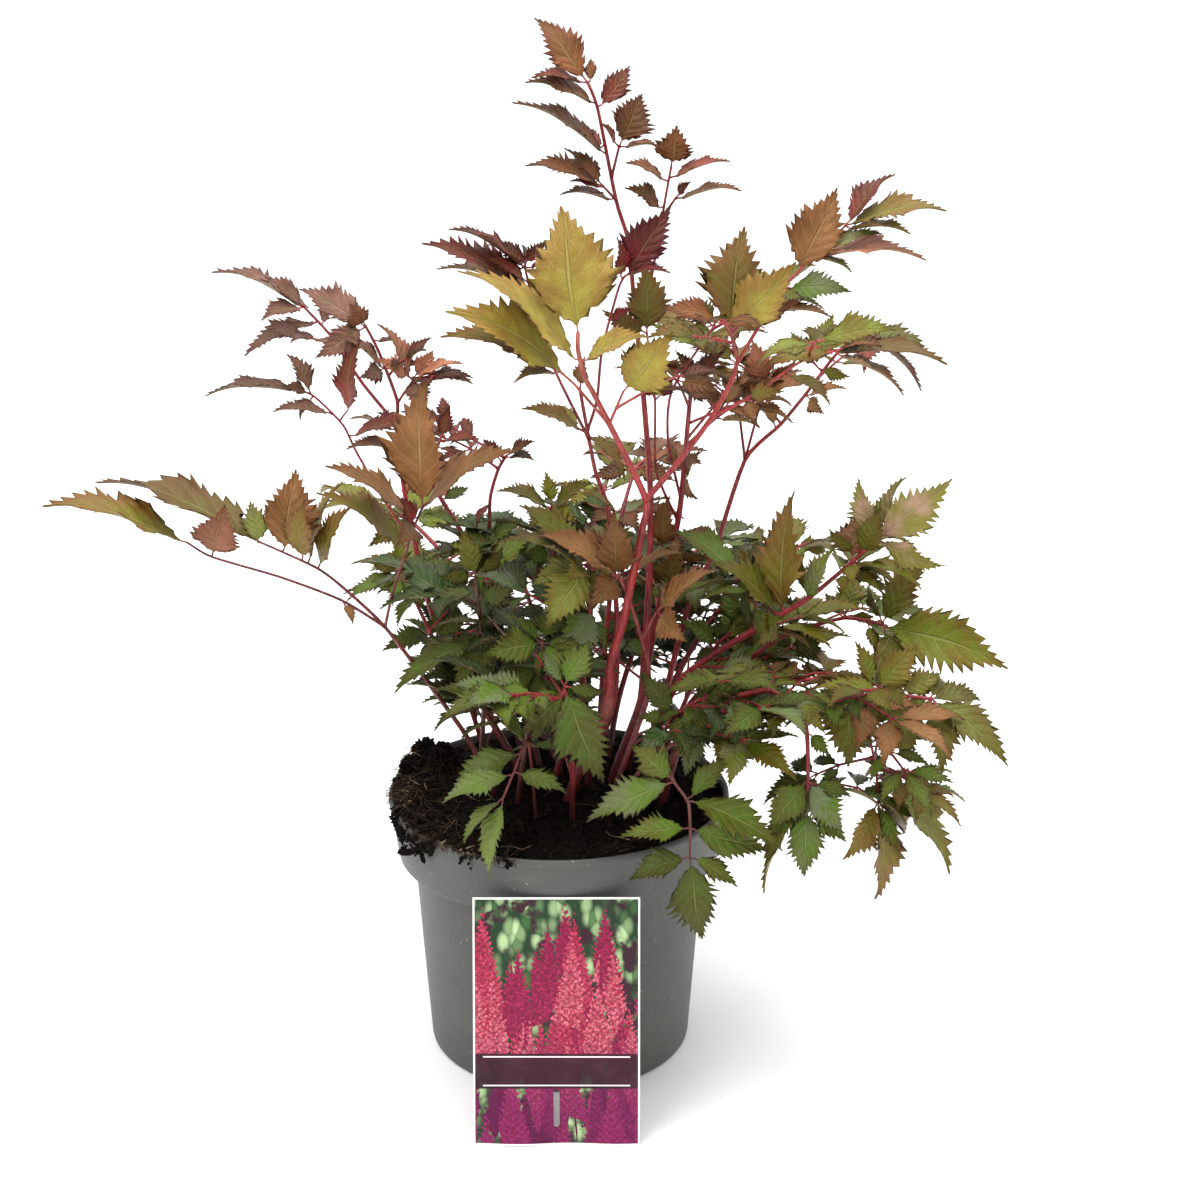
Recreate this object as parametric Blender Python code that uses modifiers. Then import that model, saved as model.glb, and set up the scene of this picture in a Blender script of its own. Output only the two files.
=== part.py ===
# An astilbe in leaf, standing in a 19 cm nursery pot, with its plant label leaning on the pot.
# Origin: centre of the pot's flat underside. +Z up, the label faces -Y. Real sizes are in millimetres.

import math

import bpy
import bmesh
from mathutils import Matrix, Vector, noise
from mathutils.bvhtree import BVHTree

MM = 0.001

# Pot, as (radius, height) pairs down the outside and up the inside
POT_STEPS = 30
POT_RIM_R = 95.0
POT_HEIGHT = 150.0
POT_OUTSIDE = [(70.5, 0.0), (73.0, 1.2), (73.6, 4.0), (81.0, 110.5), (82.5, 112.6), (88.6, 114.4),
               (90.0, 116.6), (93.6, 143.5), (94.8, 145.6), (POT_RIM_R, 148.0), (94.0, 149.7)]
POT_INSIDE = [(93.0, POT_HEIGHT), (92.0, 149.2), (91.3, 143.0), (87.9, 118.6), (86.8, 117.0),
              (80.2, 114.6), (78.9, 112.0), (71.6, 4.6), (70.4, 2.6)]

# Compost, 0.3 mm clear of the pot
SOIL_GAP = 0.35
SOIL_TOP = 146.0
SOIL_DOME = 7.0
SOIL_RINGS = (90.9, 78.0, 58.0, 32.0)
SOIL_LUMPS = [(-73.0, 20.0, 150.0, 25.0, 32.0, 17.0), (-78.0, -26.0, 149.0, 18.0, 26.0, 11.0)]
HOLE_DEPTH = 14.0
HOLE_GAP = 0.35
ROOT_SPACING = 7.6
ROOT_REACH = 66.0

# Label card
CARD_WIDE, CARD_LONG, CARD_THICK = 88.0, 132.6, 0.6
CARD_FOOT_Y = -127.0
CARD_TOP_Y = -93.0
CARD_SLOT = (3.2, 20.0, 20.0)

# Leaflets
BLADE_THICK = 0.7
SLAB_HALF = 0.58
STRIP_WIDE = 1.3
STRIP_LEAST = 6.5
SLENDER = 0.44
SMALLEST_LEAFLET = 29.0
STALK_STRAIGHT = 0.9
TWIG_R = (0.85, 0.6)
STEM_GAP = 0.8

# The place the plant is looked at from, which turns a point of the 1200 x 1200 view into a place
VIEW_FROM = Vector((22.9, -1233.0, 686.0))
VIEW_REACH = 2400.0
VIEW_DOWN = math.radians(19.0)

# Each leaf: root (x, y) on the compost, stalk radius at foot and tip, the stalk as (view x, view y,
# millimetres nearer than the pot's middle), side stalks as (view x, view y, millimetres nearer than
# where they join), and leaflets as (base x, base y, tip x, tip y, width seen, millimetres the tip comes
# nearer, tone)
LEAVES = {
    "leaf_spire": dict(
        root=(30, 4), girth=(2.1, 0.7),
        stem=[(641, 700, -2), (646, 640, -6), (650, 560, -10), (650, 480, -16), (642, 380, -22),
              (634, 300, -26), (628, 240, -28), (616, 200, -30), (611, 172, -31), (605, 150, -32),
              (598, 110, -34), (588, 83, -36)],
        twigs=[[(636, 326), (650, 285, 6), (661, 222, 12), (666, 195, 14), (671, 168, 15)],
               [(611, 172), (619, 147, 4)], [(614, 200), (604, 187, 6)], [(663, 214), (675, 199, 5)]],
        leaves=[(588, 83, 534, 14, 18, -10, "b"), (590, 84, 591, 57, 6.5, -8, "b"),
                (588, 83, 531, 74, 2.5, 8, "r"), (597, 104, 525, 77, 5.5, 10, "b"),
                (600, 107, 631, 64, 13, -12, "r"), (603, 152, 514, 95, 7.5, 12, "b"),
                (601, 148, 577, 120, 4.5, -6, "r"), (619, 147, 643, 92, 20, -8, "b"),
                (618, 147, 602, 122, 3.5, 6, "r"), (620, 147, 660, 144, 3, 10, "b"),
                (604, 187, 565, 145, 8.5, -8, "b"), (603, 186, 525, 160, 6.5, 14, "b"),
                (604, 188, 570, 179, 5, 12, "r"), (614, 200, 560, 190, 2.5, 16, "r"),
                (671, 168, 677, 126, 19, 6, "b"), (670, 178, 730, 157, 6.5, 10, "r"),
                (668, 182, 627, 160, 5, 8, "b"), (675, 199, 742, 186, 4, 14, "b"),
                (675, 199, 690, 181, 5, 6, "r"), (662, 209, 626, 186, 8, 12, "b")]),
    "leaf_crimson": dict(
        root=(16, -2), girth=(1.9, 0.8),
        stem=[(614, 700, 8), (617, 620, 10), (613, 560, 12), (608, 510, 14), (595, 470, 16),
              (588, 435, 18), (583, 410, 19), (580, 390, 20)],
        twigs=[[(588, 436), (570, 400, 4), (557, 375, 6), (540, 330, 8), (532, 300, 9), (525, 268, 10)],
               [(588, 432), (597, 400, 6), (602, 350, 10), (608, 325, 12), (618, 290, 14), (624, 277, 15)]],
        leaves=[(627, 276, 672, 205, 21, -8, "c"), (621, 280, 619, 237, 7.5, 6, "c"),
                (625, 275, 670, 269, 4, 12, "c"), (609, 322, 632, 308, 5.5, 8, "c"),
                (525, 262, 498, 240, 9, 4, "m"), (526, 262, 547, 240, 8, -4, "m"),
                (525, 267, 450, 223, 4.5, 10, "m"), (527, 269, 546, 261, 2.5, 6, "r"),
                (538, 296, 549, 275, 4.5, 4, "m"), (532, 300, 424, 235, 9.5, 14, "r"),
                (529, 292, 436, 262, 6.5, 20, "n"), (528, 282, 486, 257, 7.5, 8, "r"),
                (560, 322, 530, 295, 10.6, 16, "p"), (580, 389, 584, 356, 7.5, 6, "n"),
                (585, 432, 523, 404, 6.5, 12, "o"), (588, 434, 628, 478, 7.5, 14, "o"),
                (610, 506, 583, 491, 3.2, 12, "o")]),
    "leaf_golden": dict(
        root=(6, -22), girth=(2.8, 1.0),
        stem=[(606, 712, 30), (611, 662, 36), (624, 618, 39), (633, 572, 41), (642, 530, 43),
              (645, 497, 44), (632, 470, 46), (620, 445, 48), (608, 420, 50), (597, 400, 52),
              (585, 378, 54), (578, 350, 56), (578, 333, 57)],
        twigs=[[(608, 420), (590, 405, 2), (575, 385, 4), (560, 372, 6)], [(613, 430), (616, 405, 4), (623, 392, 8)],
               [(645, 500), (680, 460, 0), (712, 417, -2), (733, 378, -4), (738, 362, -5), (758, 330, -8),
                (775, 300, -10), (790, 280, -12), (820, 252, -14), (845, 226, -16)],
               [(738, 362), (733, 345, 3), (729, 327, 6)],
               [(712, 418), (745, 400, 6), (775, 378, 10), (800, 362, 14), (835, 351, 18)]],
        leaves=[(578, 333, 560, 203, 40, -14, "y"), (576, 360, 462, 262, 16, 14, "y"),
                (566, 375, 449, 304, 19, 24, "y"), (560, 372, 513, 379, 6.5, 22, "o"),
                (550, 358, 440, 330, 3.5, 30, "o"), (582, 362, 648, 332, 8.5, 16, "y"),
                (623, 392, 672, 333, 26, 10, "y"), (845, 226, 894, 170, 10.6, -8, "y"),
                (846, 225, 948, 204, 8.5, 12, "o"), (846, 228, 912, 229, 3.2, 18, "o"),
                (824, 250, 883, 230, 7.5, 6, "y"), (815, 257, 929, 252, 5.3, 20, "p"),
                (822, 257, 853, 270, 4, 16, "g"), (798, 273, 838, 186, 26, -6, "n"),
                (731, 330, 796, 262, 24, 8, "y"), (729, 328, 745, 224, 29, -10, "o"),
                (786, 288, 852, 290, 14, 14, "d"), (762, 326, 800, 298, 7.5, 12, "r"),
                (770, 312, 832, 312, 5.3, 18, "n"), (833, 352, 950, 357, 8.5, 22, "y"),
                (832, 352, 764, 362, 11.7, 18, "o"), (826, 353, 865, 317, 8.5, -6, "o"),
                (748, 396, 783, 391, 9.5, 14, "o"), (785, 373, 833, 402, 4.8, 16, "y"),
                (750, 400, 753, 423, 9.5, 14, "n"), (836, 353, 908, 391, 5.3, 24, "n"),
                (835, 350, 882, 343, 3, 8, "p")]),
    "leaf_maroon": dict(
        root=(38, 20), girth=(2.4, 1.0),
        stem=[(640, 706, -18), (652, 640, -24), (664, 590, -27), (674, 540, -29), (681, 500, -30),
              (686, 450, -31), (690, 400, -32), (695, 378, -33)],
        twigs=[[(681, 500), (668, 440, 5), (672, 390, 8), (700, 345, 10), (715, 325, 11)],
               [(677, 522), (656, 470, 6), (655, 400, 10), (650, 360, 12), (647, 335, 13)]],
        leaves=[(694, 380, 676, 350, 9, 6, "m"), (696, 380, 724, 350, 9, 8, "m"),
                (690, 398, 712, 386, 9, 12, "o"), (706, 338, 768, 328, 6.5, 16, "o"),
                (700, 345, 650, 322, 12, -14, "s"), (713, 327, 690, 298, 14, -10, "s"),
                (647, 335, 645, 262, 22, -12, "o"), (655, 398, 638, 372, 9, 8, "c"),
                (656, 400, 674, 378, 8, -8, "c"), (662, 545, 668, 497, 15, 16, "n"),
                (674, 536, 722, 543, 8.5, 20, "n"), (686, 478, 700, 450, 6, 8, "n"),
                (662, 592, 684, 545, 18, 20, "o")]),
    "leaf_far_right": dict(
        root=(50, 14), girth=(1.8, 0.7),
        stem=[(664, 700, -24), (690, 600, -38), (714, 552, -48), (730, 500, -58), (745, 460, -66),
              (780, 425, -74), (805, 395, -80), (818, 378, -82), (833, 358, -86), (860, 330, -90)],
        twigs=[[(745, 460), (738, 400, -8), (737, 348, -14)], [(747, 458), (757, 420, 6), (765, 386, 10)]],
        leaves=[(812, 362, 834, 312, 16, -8, "s"), (765, 382, 752, 340, 16, 6, "p"),
                (737, 348, 722, 306, 9, -10, "n"), (860, 331, 932, 352, 8, 18, "s"),
                (861, 332, 927, 388, 5.3, 26, "r"), (776, 427, 760, 398, 7, -8, "n"),
                (805, 396, 846, 386, 6, 12, "n")]),
    "leaf_low_left": dict(
        root=(-36, -14), girth=(2.2, 0.8),
        stem=[(470, 742, 18), (446, 707, 24), (420, 675, 28), (385, 627, 33), (360, 603, 36),
              (340, 585, 39), (315, 567, 42), (300, 560, 44), (280, 551, 46), (262, 543, 48)],
        twigs=[[(387, 629), (360, 612, 5), (341, 600, 8), (310, 588, 12), (280, 577, 15),
                (250, 567, 17), (212, 557, 20), (188, 543, 22)],
               [(386, 628), (393, 592, 6), (405, 550, 11), (413, 530, 13), (423, 506, 15)]],
        leaves=[(188, 543, 42, 497, 15, 14, "o"), (262, 543, 95, 470, 18, -14, "o"),
                (212, 556, 225, 506, 22, 12, "p"), (258, 544, 250, 500, 14, -8, "s"),
                (284, 552, 296, 468, 27, -10, "n"), (303, 560, 302, 500, 10.6, 12, "o"),
                (308, 563, 338, 477, 6, -8, "o"), (318, 568, 350, 502, 10.6, 14, "o"),
                (343, 601, 354, 624, 5, 8, "n"), (422, 506, 422, 380, 26, 12, "y"),
                (415, 524, 328, 459, 8.5, 14, "y"), (422, 508, 515, 443, 14, 18, "n"),
                (405, 548, 320, 487, 14, 22, "o"), (414, 528, 400, 496, 7, 12, "c")]),
    "leaf_high_left": dict(
        root=(-22, 10), girth=(2.0, 0.7),
        stem=[(478, 698, -18), (457, 662, -28), (443, 640, -33), (428, 600, -42), (418, 560, -48),
              (412, 530, -52), (405, 495, -56), (401, 460, -60), (397, 430, -62), (397, 400, -64),
              (391, 383, -66), (378, 350, -68), (365, 325, -70)],
        twigs=[[(413, 536), (398, 522, -3), (372, 480, -8), (358, 455, -10), (343, 425, -12),
                (315, 397, -14), (300, 390, -15)], [(397, 404), (413, 380, 6)],
               [(405, 496), (425, 460, 8), (440, 441, 10)]],
        leaves=[(366, 327, 298, 285, 16, -8, "n"), (366, 326, 350, 304, 14, 8, "p"),
                (386, 370, 337, 333, 6.5, 12, "n"), (374, 341, 403, 340, 4.2, 8, "r"),
                (410, 378, 380, 320, 6.5, -10, "p"), (413, 379, 434, 350, 12, 4, "p"),
                (413, 379, 462, 360, 6.5, 12, "p"), (414, 381, 473, 379, 2.5, 20, "n"),
                (312, 395, 288, 352, 8.5, -6, "n"), (300, 390, 202, 390, 6.5, 10, "n"),
                (313, 396, 298, 420, 4.2, 8, "r"), (332, 413, 272, 408, 7.5, 14, "n"),
                (394, 430, 350, 415, 3.2, 12, "n"), (400, 450, 345, 445, 3.2, 16, "n"),
                (348, 410, 357, 340, 14, 8, "r"), (352, 436, 415, 420, 7.5, 14, "r"),
                (440, 441, 449, 406, 9, -4, "r"), (441, 441, 479, 437, 5, 10, "r"),
                (436, 446, 462, 456, 4, 12, "r")]),
    "leaf_far_left": dict(
        root=(-12, 26), girth=(1.8, 0.7),
        stem=[(510, 660, -56), (488, 580, -76), (475, 555, -82), (455, 520, -88), (440, 497, -92),
              (400, 430, -102), (380, 405, -106), (363, 384, -108), (343, 353, -112),
              (330, 335, -114), (305, 308, -118)],
        twigs=[],
        leaves=[(305, 308, 212, 265, 6.5, -8, "n"), (303, 306, 266, 275, 8.5, 10, "n"),
                (318, 322, 241, 352, 8.5, 16, "n"), (322, 326, 330, 298, 7, 4, "n"),
                (402, 433, 378, 410, 5, 12, "n"), (343, 353, 366, 346, 5, 14, "n"),
                (442, 500, 470, 486, 8, -12, "d"), (458, 524, 425, 512, 7, 14, "d")]),
    "leaf_slim_left": dict(
        root=(0, 18), girth=(1.4, 0.8),
        stem=[(520, 690, -40), (496, 620, -50), (490, 560, -54), (490, 500, -57), (498, 470, -58),
              (506, 456, -58)],
        twigs=[],
        leaves=[(491, 500, 475, 528, 4.2, 10, "m"), (506, 456, 534, 440, 6, 6, "m"),
                (505, 457, 534, 458, 4, 12, "m"), (502, 462, 482, 438, 8, -8, "m"),
                (491, 540, 520, 520, 10, 14, "d"), (491, 552, 462, 540, 10, -10, "d")]),
    "leaf_brown": dict(
        root=(30, -18), girth=(1.5, 0.8),
        stem=[(646, 704, 22), (648, 664, 28), (640, 636, 32), (630, 602, 36), (620, 578, 38)],
        twigs=[[(640, 638), (656, 613, 8)]],
        leaves=[(619, 577, 612, 510, 21, 16, "n"), (618, 578, 540, 530, 6.5, 22, "n"),
                (622, 580, 680, 548, 3.2, 24, "n"), (656, 613, 716, 565, 10.6, 16, "n")]),
    "leaf_mid_right": dict(
        root=(52, -6), girth=(2.2, 0.8),
        stem=[(662, 716, 8), (684, 676, 12), (720, 650, 18), (745, 635, 22), (783, 613, 28),
              (810, 597, 32), (835, 578, 36), (853, 561, 38), (876, 541, 42)],
        twigs=[],
        leaves=[(877, 540, 953, 478, 23, 6, "s"), (877, 538, 903, 473, 7.5, -12, "s"),
                (852, 561, 858, 512, 18, -8, "n"), (862, 552, 880, 508, 16, 12, "g"),
                (856, 562, 925, 585, 4.2, 20, "g"), (846, 570, 885, 592, 7.5, 18, "g"),
                (782, 611, 789, 488, 22, -8, "b"), (778, 614, 712, 558, 10.6, 16, "b"),
                (806, 598, 833, 545, 13, 12, "g"), (750, 630, 752, 538, 8.5, -12, "d")]),
    "leaf_right": dict(
        root=(60, 4), girth=(1.9, 0.8),
        stem=[(690, 704, -8), (728, 674, -10), (762, 649, -10), (780, 638, -10), (820, 624, -8),
              (845, 618, -6), (870, 621, -2), (882, 625, 2)],
        twigs=[],
        leaves=[(884, 626, 1012, 667, 30, 20, "g"), (866, 622, 905, 646, 8.5, 16, "g"),
                (882, 623, 930, 555, 18, -4, "g"), (845, 616, 858, 572, 15, -8, "g"),
                (800, 631, 780, 590, 13, -12, "d"), (790, 634, 830, 660, 13, 12, "d")]),
    "leaf_low_right": dict(
        root=(58, -20), girth=(2.1, 0.8),
        stem=[(694, 706, 30), (742, 686, 36), (800, 680, 41), (820, 681, 43), (840, 690, 45),
              (875, 690, 48), (900, 695, 50), (932, 699, 54)],
        twigs=[[(856, 691), (868, 730, 8), (876, 770, 12), (878, 800, 15)]],
        leaves=[(933, 700, 1013, 765, 19, 14, "s"), (930, 698, 984, 698, 10.6, -10, "s"),
                (898, 693, 943, 672, 14, -8, "s"), (901, 698, 910, 764, 21, 16, "s"),
                (868, 694, 826, 716, 11.7, 14, "d"), (850, 694, 848, 768, 30, 20, "s"),
                (878, 688, 918, 645, 18, -8, "g"), (872, 688, 856, 640, 10.6, -12, "g"),
                (878, 774, 958, 872, 11.7, 16, "s"), (879, 801, 945, 817, 11.7, 12, "d"),
                (878, 802, 881, 903, 13, 8, "o")]),
    "leaf_hanging": dict(
        root=(42, -32), girth=(2.4, 0.8),
        stem=[(668, 762, 40), (700, 735, 50), (732, 700, 58), (770, 690, 66), (790, 706, 72),
              (806, 726, 77), (808, 750, 80), (808, 780, 83), (805, 805, 85)],
        twigs=[],
        leaves=[(809, 781, 843, 833, 18, 8, "d"), (806, 781, 768, 832, 18, 12, "d"),
                (805, 806, 804, 880, 19, 4, "d"), (803, 805, 757, 893, 9.5, 12, "s"),
                (768, 691, 812, 740, 8.5, 14, "d"), (808, 732, 830, 756, 8.5, 10, "d")]),
    "leaf_over_rim": dict(
        root=(28, -40), girth=(1.6, 0.8),
        stem=[(660, 748, 62), (667, 764, 74), (674, 782, 84), (688, 802, 95), (690, 828, 102),
              (690, 858, 107)],
        twigs=[],
        leaves=[(674, 781, 630, 745, 18, -10, "d"), (672, 782, 583, 820, 19, 12, "d"),
                (690, 800, 788, 848, 18, 12, "d"), (690, 798, 737, 752, 12.7, -10, "d"),
                (689, 828, 618, 835, 14, 8, "d"), (692, 829, 772, 852, 19, 10, "d"),
                (689, 857, 626, 880, 14, 2, "d"), (692, 857, 740, 886, 10.6, 4, "d"),
                (690, 860, 703, 943, 24, 4, "d")]),
    "leaf_front_left": dict(
        root=(-12, -42), girth=(1.6, 0.8),
        stem=[(528, 742, 58), (514, 772, 74), (503, 798, 84)],
        twigs=[],
        leaves=[(522, 752, 444, 795, 14, 6, "g"), (512, 774, 440, 800, 12.7, 14, "g"),
                (515, 772, 568, 792, 11.7, 10, "d"), (502, 798, 460, 842, 5.3, 8, "y"),
                (503, 800, 487, 882, 12.7, 14, "y"), (526, 744, 485, 700, 7, -8, "g"),
                (529, 744, 576, 752, 7.5, 14, "d")]),
    "leaf_mound_a": dict(
        root=(-22, -26), girth=(1.5, 0.8),
        stem=[(532, 706, 36), (537, 670, 42), (542, 642, 46)], twigs=[],
        leaves=[(541, 643, 483, 655, 19, 14, "d"), (543, 645, 582, 680, 19, 16, "d"),
                (537, 672, 522, 725, 16, 16, "d"), (536, 668, 478, 700, 19, 8, "d"),
                (542, 641, 560, 600, 18, -6, "d")]),
    "leaf_mound_b": dict(
        root=(-44, 2), girth=(1.6, 0.8),
        stem=[(484, 704, 6), (484, 660, 14), (480, 620, 18), (476, 578, 22)], twigs=[],
        leaves=[(480, 634, 455, 695, 15, 18, "d"), (480, 640, 390, 688, 12, 18, "d"),
                (476, 590, 428, 606, 8, 16, "d"), (476, 578, 462, 528, 12.7, 4, "s"),
                (478, 600, 520, 582, 14, 12, "d"), (484, 650, 520, 660, 14, 12, "d")]),
    "leaf_mound_c": dict(
        root=(-40, 22), girth=(1.6, 0.8),
        stem=[(464, 690, -14), (432, 636, -20), (412, 596, -24), (403, 574, -26)], twigs=[],
        leaves=[(402, 575, 343, 600, 10.6, 14, "d"), (402, 573, 362, 560, 7.5, -8, "d"),
                (406, 576, 462, 562, 9, 14, "d"), (403, 572, 396, 530, 10, -6, "g"),
                (432, 634, 380, 650, 12, 12, "d"), (436, 640, 470, 612, 12, -6, "d")]),
    "leaf_mound_d": dict(
        root=(-4, -12), girth=(1.8, 0.8),
        stem=[(580, 700, 24), (586, 650, 30), (590, 605, 34), (588, 562, 37)], twigs=[],
        leaves=[(588, 563, 545, 630, 24, 20, "s"), (586, 562, 520, 500, 10.6, 8, "g"),
                (586, 566, 500, 534, 5.3, 18, "g"), (590, 560, 600, 520, 12, -12, "g"),
                (592, 612, 566, 664, 23, 18, "d"), (592, 620, 545, 596, 16, -8, "d")]),
    "leaf_mound_e": dict(
        root=(8, -46), girth=(1.5, 0.9),
        stem=[(572, 734, 62), (566, 704, 66), (564, 688, 68)], twigs=[],
        leaves=[(564, 688, 605, 785, 29, 16, "d"), (565, 692, 520, 736, 18, 14, "d"),
                (564, 686, 590, 640, 18, -8, "d")]),
    "leaf_mound_f": dict(
        root=(44, -14), girth=(1.5, 0.8),
        stem=[(668, 724, 34), (684, 708, 42), (700, 700, 46)], twigs=[],
        leaves=[(690, 706, 778, 765, 23, 14, "d"), (684, 708, 684, 756, 16, 14, "d"),
                (700, 700, 752, 690, 16, 6, "d"), (672, 716, 640, 670, 14, -10, "d")]),
    "leaf_mound_g": dict(
        root=(56, 20), girth=(1.6, 0.8),
        stem=[(684, 704, -30), (702, 668, -34), (720, 642, -38), (738, 628, -42)], twigs=[],
        leaves=[(738, 628, 725, 583, 12.7, -8, "d"), (718, 644, 678, 618, 12, 10, "d"),
                (740, 628, 792, 652, 14, 14, "d"), (704, 668, 764, 700, 16, 16, "d"),
                (724, 640, 770, 606, 12, -10, "s")]),
    "leaf_mound_h": dict(
        root=(6, 26), girth=(1.6, 0.8),
        stem=[(552, 650, -44), (556, 590, -50), (552, 508, -56)], twigs=[],
        leaves=[(551, 509, 497, 487, 6.5, 12, "g"), (553, 510, 592, 480, 8, 10, "g"),
                (554, 560, 512, 548, 12, 12, "d"), (556, 562, 608, 548, 12, 14, "d"),
                (552, 508, 546, 470, 9, -8, "g")]),
}

# Leaves on the side turned away: bearing in degrees (90 is away), reach, height, root (x, y), size, tone
AWAY_LEAVES = {
    "leaf_away_a": (36, 150, 112, (50, 34), 46, "g"), "leaf_away_b": (60, 132, 96, (28, 44), 46, "d"),
    "leaf_away_c": (84, 150, 128, (14, 50), 50, "g"), "leaf_away_d": (104, 128, 84, (-4, 46), 44, "d"),
    "leaf_away_e": (128, 158, 118, (-22, 42), 48, "g"), "leaf_away_f": (72, 96, 158, (22, 32), 42, "b"),
}

TONES = {"b": (0.16, 0.07, 0.03), "r": (0.20, 0.05, 0.03), "n": (0.17, 0.09, 0.03), "o": (0.17, 0.15, 0.03),
         "g": (0.07, 0.13, 0.02), "y": (0.32, 0.27, 0.04), "c": (0.25, 0.01, 0.02), "m": (0.10, 0.015, 0.02),
         "p": (0.30, 0.15, 0.12), "s": (0.20, 0.21, 0.14), "d": (0.03, 0.07, 0.015)}


def spot(px, py, near):
    """The place seen at a point of the view, a given way nearer than the pot's middle."""
    across, up = (px - 600.0) / VIEW_REACH, (600.0 - py) / VIEW_REACH
    ray = Vector((across, math.cos(VIEW_DOWN) + up * math.sin(VIEW_DOWN),
                  up * math.cos(VIEW_DOWN) - math.sin(VIEW_DOWN)))
    return VIEW_FROM + ray * ((-near - VIEW_FROM.y) / ray.y)


def seen(place):
    """Where in the view a place is seen."""
    way = place - VIEW_FROM
    deep = way.y * math.cos(VIEW_DOWN) - way.z * math.sin(VIEW_DOWN)
    high = way.y * math.sin(VIEW_DOWN) + way.z * math.cos(VIEW_DOWN)
    return 600.0 + VIEW_REACH * way.x / deep, 600.0 - VIEW_REACH * high / deep


def soil_height(x, y):
    far = min(1.0, math.hypot(x, y) / 92.0)
    return SOIL_TOP + SOIL_DOME * (1.0 - far * far)


def spaced_roots(wanted):
    """Root places pushed apart until no two are closer than the spacing."""
    places = [Vector((x, y, 0.0)) for x, y in wanted]
    for _ in range(200):
        for i, a in enumerate(places):
            for b in places[i + 1:]:
                apart = b - a
                short = ROOT_SPACING - apart.length
                if short > 0:
                    push = apart.normalized() * (short / 2 + 0.02) if apart.length > 0.1 else Vector((0.5, 0.3, 0))
                    a -= push
                    b += push
        for a in places:
            if a.length > ROOT_REACH:
                a *= ROOT_REACH / a.length
    return [(a.x, a.y) for a in places]


def closest_of_segments(p1, q1, p2, q2):
    """Shortest way from one segment to another, and where it starts on the first."""
    d1, d2, r = q1 - p1, q2 - p2, p1 - p2
    a, e, f = d1.dot(d1), d2.dot(d2), d2.dot(r)
    c, b = d1.dot(r), d1.dot(d2)
    denom = a * e - b * b
    s = min(1.0, max(0.0, (b * f - c * e) / denom)) if denom > 1e-9 else 0.0
    t = min(1.0, max(0.0, (b * s + f) / e))
    s = min(1.0, max(0.0, (b * t - c) / a))
    return (p2 + d2 * t) - (p1 + d1 * s), s


def pushed_clear(points, radii, others, fixed):
    """A stalk's points moved along the line of sight until the stalk clears the others."""
    points = [p.copy() for p in points]
    for _ in range(120):
        worst = None
        for i in range(fixed, len(points) - 1):
            for other, other_radii in others:
                for j in range(len(other) - 1):
                    if (other[j] - points[i]).length > 90:
                        continue
                    way, s = closest_of_segments(points[i], points[i + 1], other[j], other[j + 1])
                    short = radii[i] + other_radii[j] + STEM_GAP - way.length
                    if short > 0 and (worst is None or short > worst[0]):
                        worst = (short, i, s, way)
        if worst is None:
            return points
        short, i, s, way = worst
        sight = (points[i] - VIEW_FROM).normalized()
        side = -1.0 if way.dot(sight) >= 0 else 1.0
        centre = points[i].lerp(points[i + 1], s)
        for k in range(fixed, len(points)):
            share = max(0.0, 1.0 - (points[k] - centre).length / 45.0)
            points[k] += sight * side * (short + 0.4) * share
        nearer = i if s < 0.5 else i + 1
        if nearer >= fixed:
            points[nearer] += sight * side * 0.5
    return points


def straightened(points, keep):
    """A stalk's points without those that lie on a straight run, after the first few."""
    points = list(points)
    k = keep
    while k < len(points) - 1:
        a, b = points[k - 1], points[k + 1]
        along = (b - a).normalized()
        off = points[k] - a
        if (off - along * off.dot(along)).length < STALK_STRAIGHT and (b - a).length < 70:
            points.pop(k)
        else:
            k += 1
    return points


def tapered(points, girth):
    length = [0.0]
    for a, b in zip(points, points[1:]):
        length.append(length[-1] + (b - a).length)
    return [girth[0] + (girth[1] - girth[0]) * v / length[-1] for v in length]


def place_on(paths, px, py):
    """The nearest place, as seen, on a leaf's stalks: (place, radius, direction)."""
    best = None
    for points, radii in paths:
        start = 2 if points[0].z < SOIL_TOP + SOIL_DOME else 0
        for i in range(start, len(points) - 1):
            for step in range(9):
                here = points[i].lerp(points[i + 1], step / 8)
                sx, sy = seen(here)
                far = math.hypot(sx - px, sy - py)
                if best is None or far < best[0] - 1e-6:
                    best = (far, here, radii[i], (points[i + 1] - points[i]).normalized())
    return best[1:]


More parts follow.
